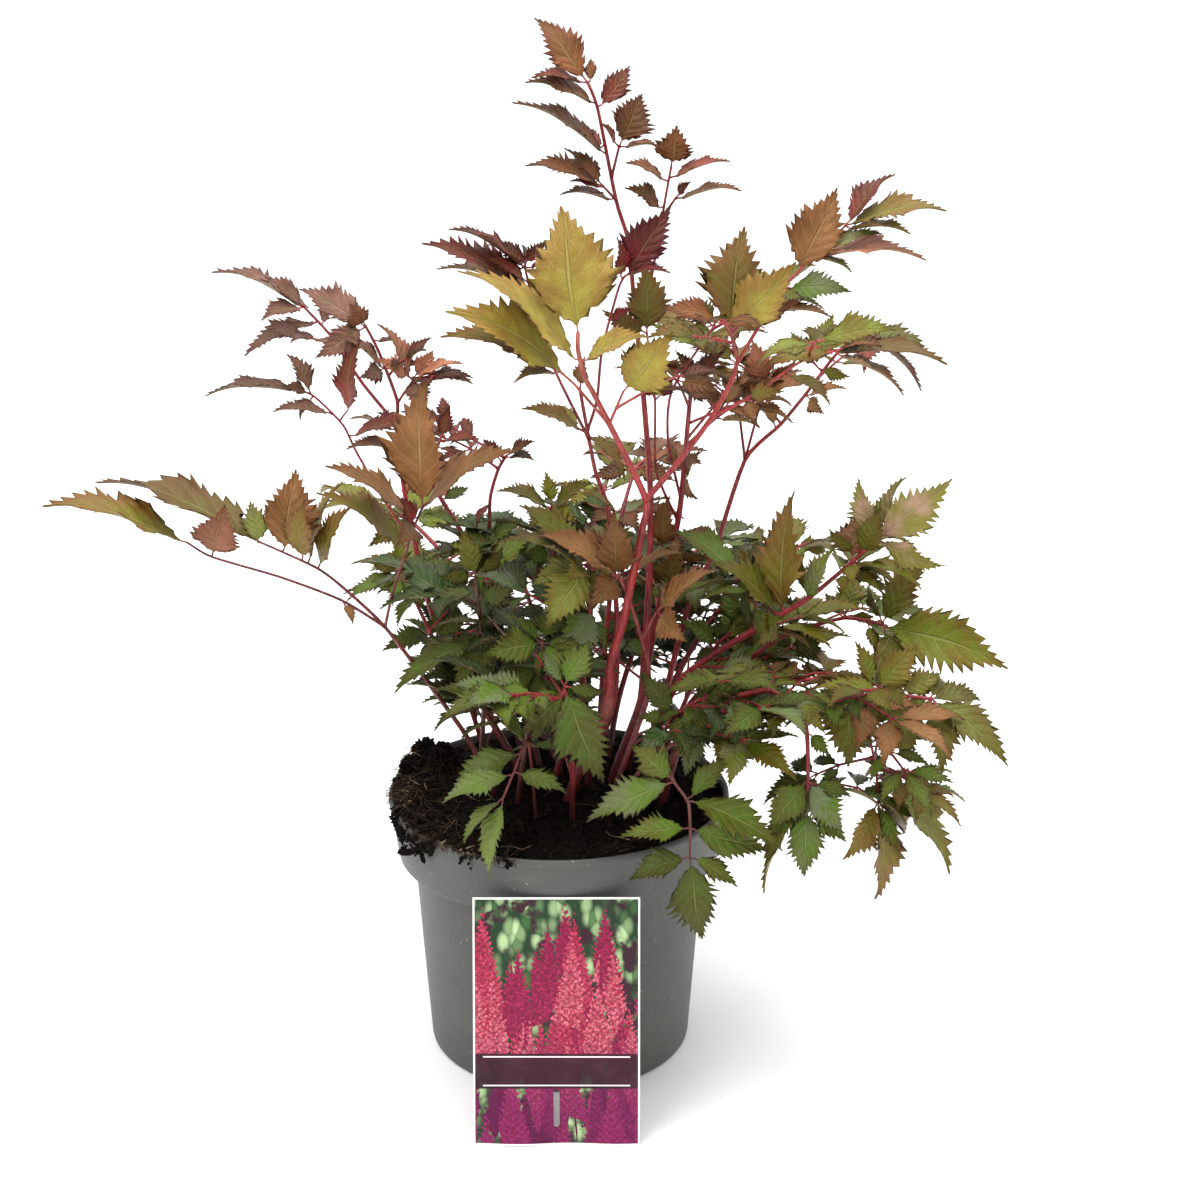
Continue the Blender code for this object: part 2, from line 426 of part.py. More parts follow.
def grown_leaves():
    """Every leaf as stalk paths and wanted leaflets, with stalks clear of one another."""
    names = list(LEAVES) + list(AWAY_LEAVES)
    wanted = [LEAVES[n]["root"] if n in LEAVES else AWAY_LEAVES[n][3] for n in names]
    roots = dict(zip(names, spaced_roots(wanted)))
    standing, grown = [], []
    for name in names:
        x, y = roots[name]
        top = soil_height(x, y)
        foot = [Vector((x, y, top - HOLE_DEPTH + 0.4)), Vector((x, y, top + 3.0))]
        if name in LEAVES:
            spec = LEAVES[name]
            girth = spec["girth"]
            points = straightened(foot + [spot(*p) for p in spec["stem"]], 3)
        else:
            spec = None
            girth = (1.8, 0.8)
            bearing, reach, height, _, size, _ = AWAY_LEAVES[name]
            way = Vector((math.cos(math.radians(bearing)), math.sin(math.radians(bearing)), 0.0))
            points = foot + [Vector((x, y, top)) + way * (reach * v ** 1.5) + Vector((0, 0, height * math.sin(1.75 * v)))
                             for v in (0.2, 0.4, 0.6, 0.8, 1.0)]
        radii = tapered(points, girth)
        points = pushed_clear(points, radii, standing, 1)
        paths = [(points, radii)]
        standing.append((points, radii))
        for twig in spec["twigs"] if spec else []:
            start, _, _ = place_on(paths, *twig[0])
            near = -start.y
            line = straightened([start] + [spot(px, py, near + more) for px, py, more in twig[1:]], 1)
            sizes = tapered(line, TWIG_R)
            own = paths[0][0]
            line = pushed_clear(line, sizes, [s for s in standing if s[0] is not own], 1)
            paths.append((line, sizes))
            standing.append((line, sizes))
        grown.append((name, paths, wanted_leaflets(name, paths)))
    return grown


def wanted_leaflets(name, paths):
    """Leaflets as (root on the stalk, blade base, tip, width, face, way the tip may slide, tone)."""
    made = []
    if name in LEAVES:
        for bx, by, tx, ty, seen_width, nearer, tone in LEAVES[name]["leaves"]:
            root, radius, along = place_on(paths, bx, by)
            base = spot(bx, by, -root.y)
            tip = spot(tx, ty, -root.y + nearer)
            length = (tip - base).length
            width = max(seen_width, SLENDER * length)
            midrib = (tip - base).normalized()
            sight = (VIEW_FROM - (base + tip) / 2).normalized()
            face = (sight - midrib * sight.dot(midrib)).normalized()
            turn = math.acos(min(1.0, seen_width / width))
            choices = [face * math.cos(turn) + midrib.cross(face) * math.sin(turn) * s for s in (1, -1)]
            face = max(choices, key=lambda v: v.z)
            made.append((root, base, tip, width, face, (tip - VIEW_FROM).normalized(), tone))
        return made
    bearing, reach, height, _, size, tone = AWAY_LEAVES[name]
    points = paths[0][0]
    up = Vector((0, 0, 1))
    seed = 7 * list(AWAY_LEAVES).index(name)
    for order, (i, side) in enumerate([(6, 0), (5, 1), (5, -1), (4, 1), (4, -1)]):
        here = points[i]
        along = (points[i] - points[i - 1]).normalized()
        flat = along.cross(up).normalized()
        vary = noise.noise(Vector((seed + order * 1.7, 0.3, 0.6)))
        way = along if side == 0 else (along * (0.55 + 0.3 * vary) + flat * side)
        way = (way + up * (0.12 + 0.5 * vary - 0.10 * order)).normalized()
        length = size * (1.15 if side == 0 else 1.0 - 0.05 * order) * (1 + 0.25 * vary)
        base = here + way * 4.0
        tip = base + way * length
        face = (up - way * up.dot(way)).normalized()
        made.append((here, base, tip, 0.48 * length, face, up, tone))
    return made


def blade(root, base, tip, width, face, teeth, arch=0.10, fold=0.20, start=0.0):
    """An open leaflet with a stalk strip, a folded midrib and forward-pointing teeth."""
    span = tip - base
    length = span.length
    midrib = span.normalized()
    face = (face - midrib * face.dot(midrib)).normalized()
    across = midrib.cross(face)
    middle = (base + tip) / 2 + face * arch * length

    def at(s, side, share):
        here = base * (1 - s) ** 2 + middle * 2 * s * (1 - s) + tip * s * s
        lie = ((middle - base) * (1 - s) + (tip - middle) * s).normalized()
        up = across.cross(lie)
        half = share * width / 2 * max(0.04, (s / 0.38) ** 0.7 * ((1 - s) / 0.62) ** 1.15)
        return here + across * side * half + up * half * fold

    flat = across * STRIP_WIDE / 2
    points, faces = [root - flat, root + flat], []
    if start:
        points = [at(start, -1, 0.8), at(start, 1, 0.8)]
    elif (base - root).length > STRIP_LEAST:
        points += [base - flat, base + flat]
        faces = [(0, 1, 3), (0, 3, 2)]
    left, right = len(points) - 2, len(points) - 1
    step = (1 - start) / (2 * teeth + 1)
    middle_before = None
    for i in range(teeth):
        s_point, s_notch = start + step * (2 * i + 1.35), start + step * (2 * i + 2)
        first = len(points)
        points += [at(s_notch, 0, 0.0), at(s_point, -1, 1.0), at(s_point, 1, 1.0),
                   at(s_notch, -1, 0.74), at(s_notch, 1, 0.74)]
        mid, left_point, right_point, left_notch, right_notch = range(first, first + 5)
        if middle_before is None:
            faces += [(left, right, mid), (right, right_point, mid), (left, mid, left_point)]
        else:
            faces += [(middle_before, right, right_point), (middle_before, right_point, mid),
                      (middle_before, left_point, left), (middle_before, mid, left_point)]
        faces += [(mid, right_point, right_notch), (mid, left_notch, left_point)]
        left, right, middle_before = left_notch, right_notch, mid
    points.append(tip)
    end = len(points) - 1
    faces += [(middle_before, right, end), (middle_before, end, left)]
    return points, faces


def slab(points, faces, half):
    """A thickened test body round an open blade."""
    normals = [Vector() for _ in points]
    for a, b, c in faces:
        normal = (points[b] - points[a]).cross(points[c] - points[a])
        for k in (a, b, c):
            normals[k] += normal
    above = [p + n.normalized() * half for p, n in zip(points, normals)]
    below = [p - n.normalized() * half for p, n in zip(points, normals)]
    count = len(points)
    edges = {}
    for a, b, c in faces:
        for e in ((a, b), (b, c), (c, a)):
            edges[e] = True
    skin = [f for f in faces] + [(c + count, b + count, a + count) for a, b, c in faces]
    for a, b in edges:
        if (b, a) not in edges:
            skin += [(a, a + count, b + count), (a, b + count, b)]
    return above + below, skin


def box_of(points):
    return ([min(p[k] for p in points) for k in range(3)], [max(p[k] for p in points) for k in range(3)])


def boxes_meet(a, b):
    return all(a[0][k] <= b[1][k] and b[0][k] <= a[1][k] for k in range(3))


def tube(points, radii, extra):
    """A four-sided test body round a stalk."""
    verts, faces = [], []
    for i, p in enumerate(points):
        lie = (points[min(i + 1, len(points) - 1)] - points[max(i - 1, 0)]).normalized()
        side = lie.orthogonal().normalized()
        other = lie.cross(side)
        for k in range(6):
            turn = math.pi * k / 3
            verts.append(p + (side * math.cos(turn) + other * math.sin(turn)) * (radii[i] + extra))
    for i in range(len(points) - 1):
        for k in range(6):
            a, b = 6 * i + k, 6 * i + (k + 1) % 6
            faces += [(a, b, b + 6), (a, b + 6, a + 6)]
    return verts, faces


def tries():
    """Changes to a leaflet, the smallest first: (slide of the tip, turn about the midrib)."""
    found = [(slide, turn) for slide in (0, 5, -5, 10, -10, 16, -16, 24, -24, 32, -32, 42)
             for turn in (0, 14, -14, 28, -28, 45, -45, 70, -70)]
    return sorted(found, key=lambda t: abs(t[0]) / 9 + abs(t[1]) / 22)


def cleared_leaflets(grown, solids):
    """For each leaf, the leaflets that clear everything else, bent as little as that takes."""
    placed = [(None, None, BVHTree.FromPolygons(v, f), box_of(v)) for v, f in solids]
    stalks = []
    for name, paths, _ in grown:
        for points, radii in paths:
            verts, faces = tube(points, radii, 0.45)
            stalks.append((name, BVHTree.FromPolygons(verts, faces), box_of(verts)))
    kept = {name: [] for name, _, _ in grown}
    order = tries()
    for name, _, leaflets in grown:
        lengths = sorted(((w[2] - w[1]).length for w in leaflets), reverse=True)
        least = min(SMALLEST_LEAFLET, lengths[min(3, len(lengths)) - 1])
        for root, base, tip, width, face, sliding, tone in leaflets:
            if (tip - base).length < least:
                continue
            done = None
            for size in (1.0, 0.85, 0.7):
                for slide, turn in order:
                    end = base + (tip + sliding * slide - base) * size
                    midrib = (end - base).normalized()
                    turned = Matrix.Rotation(math.radians(turn), 3, midrib) @ face
                    clear_base = base + midrib * max(0.0, 3.0 - (base - root).length)
                    shape = (root, clear_base, end, width * size, turned)
                    whole = slab(*blade(*shape, 3), SLAB_HALF)
                    bounds = box_of(whole[0])
                    near_stalks = [s for s in stalks if boxes_meet(bounds, s[2])]
                    near_placed = [p for p in placed if boxes_meet(bounds, p[3])]
                    if near_stalks or near_placed:
                        outer = BVHTree.FromPolygons(*slab(*blade(*shape, 3, start=0.22), SLAB_HALF))
                        tree = BVHTree.FromPolygons(*whole)
                        if any((outer if s[0] == name else tree).overlap(s[1]) for s in near_stalks):
                            continue
                        if any(outer.overlap(p[1]) if p[0] == name else tree.overlap(p[2])
                               for p in near_placed):
                            continue
                    done = shape
                    break
                if done:
                    break
            if done:
                outer = BVHTree.FromPolygons(*slab(*blade(*done, 3, start=0.22), SLAB_HALF))
                whole = slab(*blade(*done, 3), SLAB_HALF)
                placed.append((name, outer, BVHTree.FromPolygons(*whole), box_of(whole[0])))
                kept[name].append(done + (tone,))
    return kept


def mesh_object(name, points, faces, collection, scale=MM):
    mesh = bpy.data.meshes.new(name)
    mesh.from_pydata([tuple(Vector(p) * scale) for p in points], [], faces)
    mesh.update()
    made = bpy.data.objects.new(name, mesh)
    collection.objects.link(made)
    return made


def baked(made, name, collection):
    """The object as its modifiers leave it, as a plain mesh, in place of the object."""
    graph = bpy.context.evaluated_depsgraph_get()
    mesh = bpy.data.meshes.new_from_object(made.evaluated_get(graph))
    old = made.data
    kind = made.type
    bpy.data.objects.remove(made)
    if kind == "MESH":
        bpy.data.meshes.remove(old)
    else:
        bpy.data.curves.remove(old)
    work = bmesh.new()
    work.from_mesh(mesh)
    bmesh.ops.remove_doubles(work, verts=work.verts, dist=1e-7)
    bmesh.ops.recalc_face_normals(work, faces=work.faces)
    work.to_mesh(mesh)
    work.free()
    mesh.name = name
    plain = bpy.data.objects.new(name, mesh)
    collection.objects.link(plain)
    return plain


def stalk_object(name, points, radii, sides, collection):
    curve = bpy.data.curves.new(name, "CURVE")
    curve.dimensions = "3D"
    curve.bevel_depth = 1.0 * MM
    curve.bevel_resolution = sides
    curve.use_fill_caps = True
    line = curve.splines.new("POLY")
    line.points.add(len(points) - 1)
    for knot, place, radius in zip(line.points, points, radii):
        knot.co = (*(place * MM), 1.0)
        knot.radius = radius
    made = bpy.data.objects.new(name, curve)
    collection.objects.link(made)
    return baked(made, name, collection)


def boolean(target, operation, operand, solver="MANIFOLD"):
    step = target.modifiers.new(operation.lower(), "BOOLEAN")
    step.operation = operation
    step.solver = solver
    if isinstance(operand, bpy.types.Collection):
        step.operand_type = "COLLECTION"
        step.collection = operand
    else:
        step.object = operand
    return step


def paint(made, name, colour, rough, metal=0.0):
    look = bpy.data.materials.new(name)
    look.use_nodes = True
    skin = look.node_tree.nodes["Principled BSDF"]
    skin.inputs["Base Color"].default_value = (*colour, 1.0)
    skin.inputs["Roughness"].default_value = rough
    skin.inputs["Metallic"].default_value = metal
    made.data.materials.clear()
    made.data.materials.append(look)


def turned_body(name, profile, collection):
    """A body of revolution about Z from a (radius, height) profile that starts and ends on the axis."""
    mesh = bpy.data.meshes.new(name)
    points = [(r * MM, 0.0, z * MM) for r, z in profile]
    mesh.from_pydata(points, [(i, i + 1) for i in range(len(points) - 1)], [])
    made = bpy.data.objects.new(name, mesh)
    collection.objects.link(made)
    spin = made.modifiers.new("spin", "SCREW")
    spin.axis = "Z"
    spin.steps = spin.render_steps = POT_STEPS
    spin.use_merge_vertices = True
    spin.merge_threshold = 0.00001
    spin.use_normal_calculate = True
    return baked(made, name, collection)


def clear_scene():
    for made in list(bpy.data.objects):
        bpy.data.objects.remove(made)
    for group in list(bpy.data.collections):
        bpy.data.collections.remove(group)


def make_pot(home):
    pot = turned_body("pot", [(0.0, 0.0)] + POT_OUTSIDE + POT_INSIDE + [(0.0, 2.4)], home)
    paint(pot, "pot_plastic", (0.085, 0.09, 0.08), 0.45)
    return pot


def heap(x, y):
    """How far the compost is heaped up towards the lumps on the left."""
    return sum(h * 0.85 * math.exp(-((x - lx) / w) ** 2 - ((y - ly) / d) ** 2)
               for lx, ly, _, w, d, h in SOIL_LUMPS)


def make_soil(home, cutters, roots):
    """Compost that fills the pot, heaped over the rim on the left, with a hole for each stalk."""
    g = SOIL_GAP
    profile = [(0.0, 2.4 + g), (70.0 - g, 2.6 + g), (71.6 - g, 5.0), (78.9 - g, 111.8), (80.2 - g, 115.2),
               (86.8 - g, 117.6), (87.9 - g, 119.2), (SOIL_RINGS[0], SOIL_TOP - 1.5)]
    profile += [(r, soil_height(r, 0)) for r in SOIL_RINGS[1:]] + [(0.0, soil_height(0, 0))]
    soil = turned_body("soil", profile, home)
    for vertex in soil.data.vertices:
        x, y, z = (v / MM for v in vertex.co)
        if z > SOIL_TOP - 1 and math.hypot(x, y) < 88:
            vertex.co.z += MM * (1.6 * noise.noise(Vector((x * 0.09, y * 0.09, 4.2))) + heap(x, y))
    for k, (x, y, z, long, wide, high) in enumerate(SOIL_LUMPS):
        bpy.ops.mesh.primitive_ico_sphere_add(subdivisions=2, radius=1.0)
        lump = moved_to(bpy.context.object, cutters)
        for vertex in lump.data.vertices:
            rough = 1 + 0.16 * noise.noise(vertex.co * 2.3 + Vector((k * 5.0, 1.0, 2.0)))
            place = Vector((vertex.co.x * long, vertex.co.y * wide, vertex.co.z * high)) * rough
            place += Vector((x, y, z))
            far = math.hypot(place.x, place.y)
            if far > 97.0:
                place.x, place.y = place.x * 97.0 / far, place.y * 97.0 / far
            vertex.co = place * MM
        bpy.ops.mesh.primitive_cube_add(size=1.0)
        above = moved_to(bpy.context.object, cutters)
        above.scale = (0.3, 0.3, 0.1)
        above.location = (0.0, 0.0, (POT_HEIGHT + 0.4) * MM + 0.05)
        bpy.context.view_layer.update()
        boolean(lump, "INTERSECT", above)
        lump = baked(lump, "lump", cutters)
        boolean(soil, "UNION", lump)
        soil = baked(soil, "soil", home)
    holes = bpy.data.collections.new("holes")
    cutters.children.link(holes)
    for x, y, radius in roots:
        bpy.ops.mesh.primitive_cylinder_add(vertices=6, radius=(radius + HOLE_GAP) / math.cos(math.pi / 6) * MM,
                                            depth=40.0 * MM)
        hole = moved_to(bpy.context.object, holes)
        hole.location = (x * MM, y * MM, (soil_height(x, y) - HOLE_DEPTH + 20.0) * MM)
    bpy.context.view_layer.update()
    boolean(soil, "DIFFERENCE", holes)
    soil = baked(soil, "soil", home)
    paint(soil, "soil_peat", (0.018, 0.013, 0.010), 0.95)
    return soil


def moved_to(made, collection):
    for old in list(made.users_collection):
        old.objects.unlink(made)
    collection.objects.link(made)
    return made


def make_card(home, cutters):
    lean = math.atan2(CARD_TOP_Y - CARD_FOOT_Y, math.sqrt(CARD_LONG ** 2 - (CARD_TOP_Y - CARD_FOOT_Y) ** 2))
    bpy.ops.mesh.primitive_cube_add(size=1.0)
    card = bpy.context.object
    for vertex in card.data.vertices:
        x, y, z = vertex.co
        vertex.co = (x * CARD_WIDE * MM, y * CARD_THICK * MM, (z + 0.5) * CARD_LONG * MM)
    wide, long, high = CARD_SLOT
    bpy.ops.mesh.primitive_cylinder_add(vertices=12, radius=wide / 2 * MM, depth=0.01, rotation=(math.pi / 2, 0, 0))
    slot = bpy.context.object
    for vertex in slot.data.vertices:
        vertex.co.y += math.copysign((long - wide) / 2 * MM, vertex.co.y + 1e-6)
    slot.location.z = high * MM
    moved_to(card, home)
    moved_to(slot, cutters)
    bpy.context.view_layer.update()
    boolean(card, "DIFFERENCE", slot)
    card = baked(card, "label_card", home)
    turn = Matrix.Rotation(-lean, 4, "X")
    lift = CARD_THICK / 2 * math.sin(lean)
    card.data.transform(Matrix.Translation((0.0, CARD_FOOT_Y * MM, lift * MM)) @ turn)
    paint(card, "label_print", (0.75, 0.25, 0.42), 0.4)
    return card


def without_pockets(made):
    """The body without the small closed pockets a union can leave where leaflets share a joint."""
    work = bmesh.new()
    work.from_mesh(made.data)
    bmesh.ops.triangulate(work, faces=work.faces)
    left, shells = set(work.faces), []
    while left:
        shell, edge = set(), [left.pop()]
        while edge:
            face = edge.pop()
            shell.add(face)
            for side in face.edges:
                for beside in side.link_faces:
                    if beside in left:
                        left.discard(beside)
                        edge.append(beside)
        volume = sum(f.verts[0].co.dot(f.verts[1].co.cross(f.verts[2].co)) for f in shell)
        shells.append((volume, shell))
    shells.sort(key=lambda s: s[0])
    for volume, shell in shells[:-1]:
        if abs(volume) > 1e-10:
            print("extra shell", made.name, round(volume / 6 * 1e9, 3), "mm3")
        bmesh.ops.delete(work, geom=list(shell), context="FACES")
    work.to_mesh(made.data)
    work.free()
    return made


def teeth_for(length):
    return 1 if length < 39 else 2 if length < 66 else 3


def leaf_object(name, paths, leaflets, home, cutters):
    """One leaf: stalk, side stalks and leaflets joined into one body."""
    parts = bpy.data.collections.new(name + "_parts")
    cutters.children.link(parts)
    stalk = stalk_object(name, *paths[0], 1, home)
    for points, radii in paths[1:]:
        stalk_object("twig", points, radii, 0, parts)
    for root, base, tip, width, face, tone in leaflets:
        points, faces = blade(root, base, tip, width, face, teeth_for((tip - base).length))
        leaflet = mesh_object("leaflet", points, faces, parts)
        skin = leaflet.modifiers.new("thickness", "SOLIDIFY")
        skin.thickness = BLADE_THICK * MM
        skin.offset = 0.0
        baked(leaflet, "leaflet", parts)
    boolean(stalk, "UNION", parts)
    leaf = without_pockets(baked(stalk, name, home))
    for made in list(parts.objects):
        bpy.data.objects.remove(made)
    tones = [v[-1] for v in leaflets]
    tone = max(sorted(set(tones)), key=tones.count)
    paint(leaf, name + "_skin", TONES[tone], 0.5)
    return leaf


def outline_of(made):
    made.data.calc_loop_triangles()
    return ([v.co / MM for v in made.data.vertices], [tuple(t.vertices) for t in made.data.loop_triangles])


def main():
    clear_scene()
    home = bpy.data.collections.new("astilbe_in_pot")
    cutters = bpy.data.collections.new("cutters")
    for group in (home, cutters):
        bpy.context.scene.collection.children.link(group)
    pot = make_pot(home)
    grown = grown_leaves()
    roots = [(paths[0][0][0].x, paths[0][0][0].y, paths[0][1][0]) for _, paths, _ in grown]
    soil = make_soil(home, cutters, roots)
    card = make_card(home, cutters)
    kept = cleared_leaflets(grown, [outline_of(made) for made in (pot, soil, card)])
    for name, paths, _ in grown:
        leaf_object(name, paths, kept[name], home, cutters)
    cutters.hide_render = True
    for made in cutters.all_objects:
        made.hide_render = True
        made.display_type = "WIRE"
    wanted = sum(1 for _, _, v in grown for w in v if (w[2] - w[1]).length >= SMALLEST_LEAFLET)
    print("leaflets", sum(len(v) for v in kept.values()), "of", wanted)
    print("triangles", {made.name: sum(len(f.vertices) - 2 for f in made.data.polygons) for made in home.objects})


main()
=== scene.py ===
# Looks for the astilbe in its nursery pot: leaves, stalks, compost, pot and plant label.
# Metres, +Z up, origin at the centre of the pot's flat underside, the label faces -Y.

import math

import bpy
import bmesh
from mathutils import Matrix, Vector, noise
from mathutils.bvhtree import BVHTree


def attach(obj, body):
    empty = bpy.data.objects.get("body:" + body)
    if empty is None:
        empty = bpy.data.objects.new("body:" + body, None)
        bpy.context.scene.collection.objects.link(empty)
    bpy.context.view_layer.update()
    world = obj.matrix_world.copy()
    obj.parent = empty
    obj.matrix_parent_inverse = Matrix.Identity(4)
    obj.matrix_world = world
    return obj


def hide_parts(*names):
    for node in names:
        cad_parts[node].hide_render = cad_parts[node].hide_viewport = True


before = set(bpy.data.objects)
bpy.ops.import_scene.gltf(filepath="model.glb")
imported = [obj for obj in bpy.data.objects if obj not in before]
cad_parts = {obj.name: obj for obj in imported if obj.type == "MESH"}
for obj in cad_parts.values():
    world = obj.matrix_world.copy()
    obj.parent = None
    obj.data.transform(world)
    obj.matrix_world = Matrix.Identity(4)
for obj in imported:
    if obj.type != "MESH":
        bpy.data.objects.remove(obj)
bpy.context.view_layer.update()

MM = 0.001
HOME = bpy.context.scene.collection

# Sizes and places are in millimetres, as in the solids. Lumps are (x, y, z, half width, half length, height)
POT_HEIGHT = 150.0
SOIL_TOP, SOIL_DOME, SOIL_REACH = 146.0, 7.0, 92.0
SOIL_LUMPS = [(-73.0, 20.0, 150.0, 25.0, 32.0, 17.0), (-78.0, -26.0, 149.0, 18.0, 26.0, 11.0)]
HOLE_DEPTH = 14.0
ROOT_SPACING, ROOT_REACH, ROOT_ROUNDS = 7.6, 66.0, 200
# The card's slot is (width, length, height of its middle over the card's foot)
CARD_WIDE, CARD_LONG, CARD_THICK = 88.0, 132.6, 0.6
CARD_FOOT_Y, CARD_TOP_Y = -127.0, -93.0
CARD_SLOT = (3.2, 20.0, 20.0)
CARD_GRID = (44, 66)
# Test bodies of leaflets: half thickness, teeth along a side, arch and fold as shares, and the stalk strip
SLAB_HALF = 0.58
BODY_TEETH, BODY_ARCH, BODY_FOLD = 3, 0.10, 0.20
STRIP_WIDE, STRIP_LEAST = 1.3, 6.5
# Where a body starts, as a share of its length, against its own leaf, which it grows out of
FREE_FROM = 0.22
# Leaflets are at least this slender, and those under the smallest length go last
SLENDER, SMALLEST_LEAFLET, LEAFLET_STALK = 0.44, 29.0, 3.0
# Shares that a leaflet shrinks to where it finds no room
SHRUNK = (1.0, 0.85, 0.7)
# Stalks: how far off a straight run a point may lie, the longest run, a side stalk's radii, and the gap kept
STALK_STRAIGHT, LONGEST_RUN = 0.9, 70.0
TWIG_R, AWAY_R = (0.85, 0.6), (1.8, 0.8)
STEM_GAP, NEIGHBOUR_REACH, BEND_REACH, PUSH_ROUNDS = 0.8, 90.0, 45.0, 120
STALK_ROOM = 0.45

# The place the plant is looked at from, which turns a point of the 1200 x 1200 view into a place
VIEW_FROM = Vector((22.9, -1233.0, 686.0))
VIEW_REACH = 2400.0
VIEW_DOWN = math.radians(19.0)

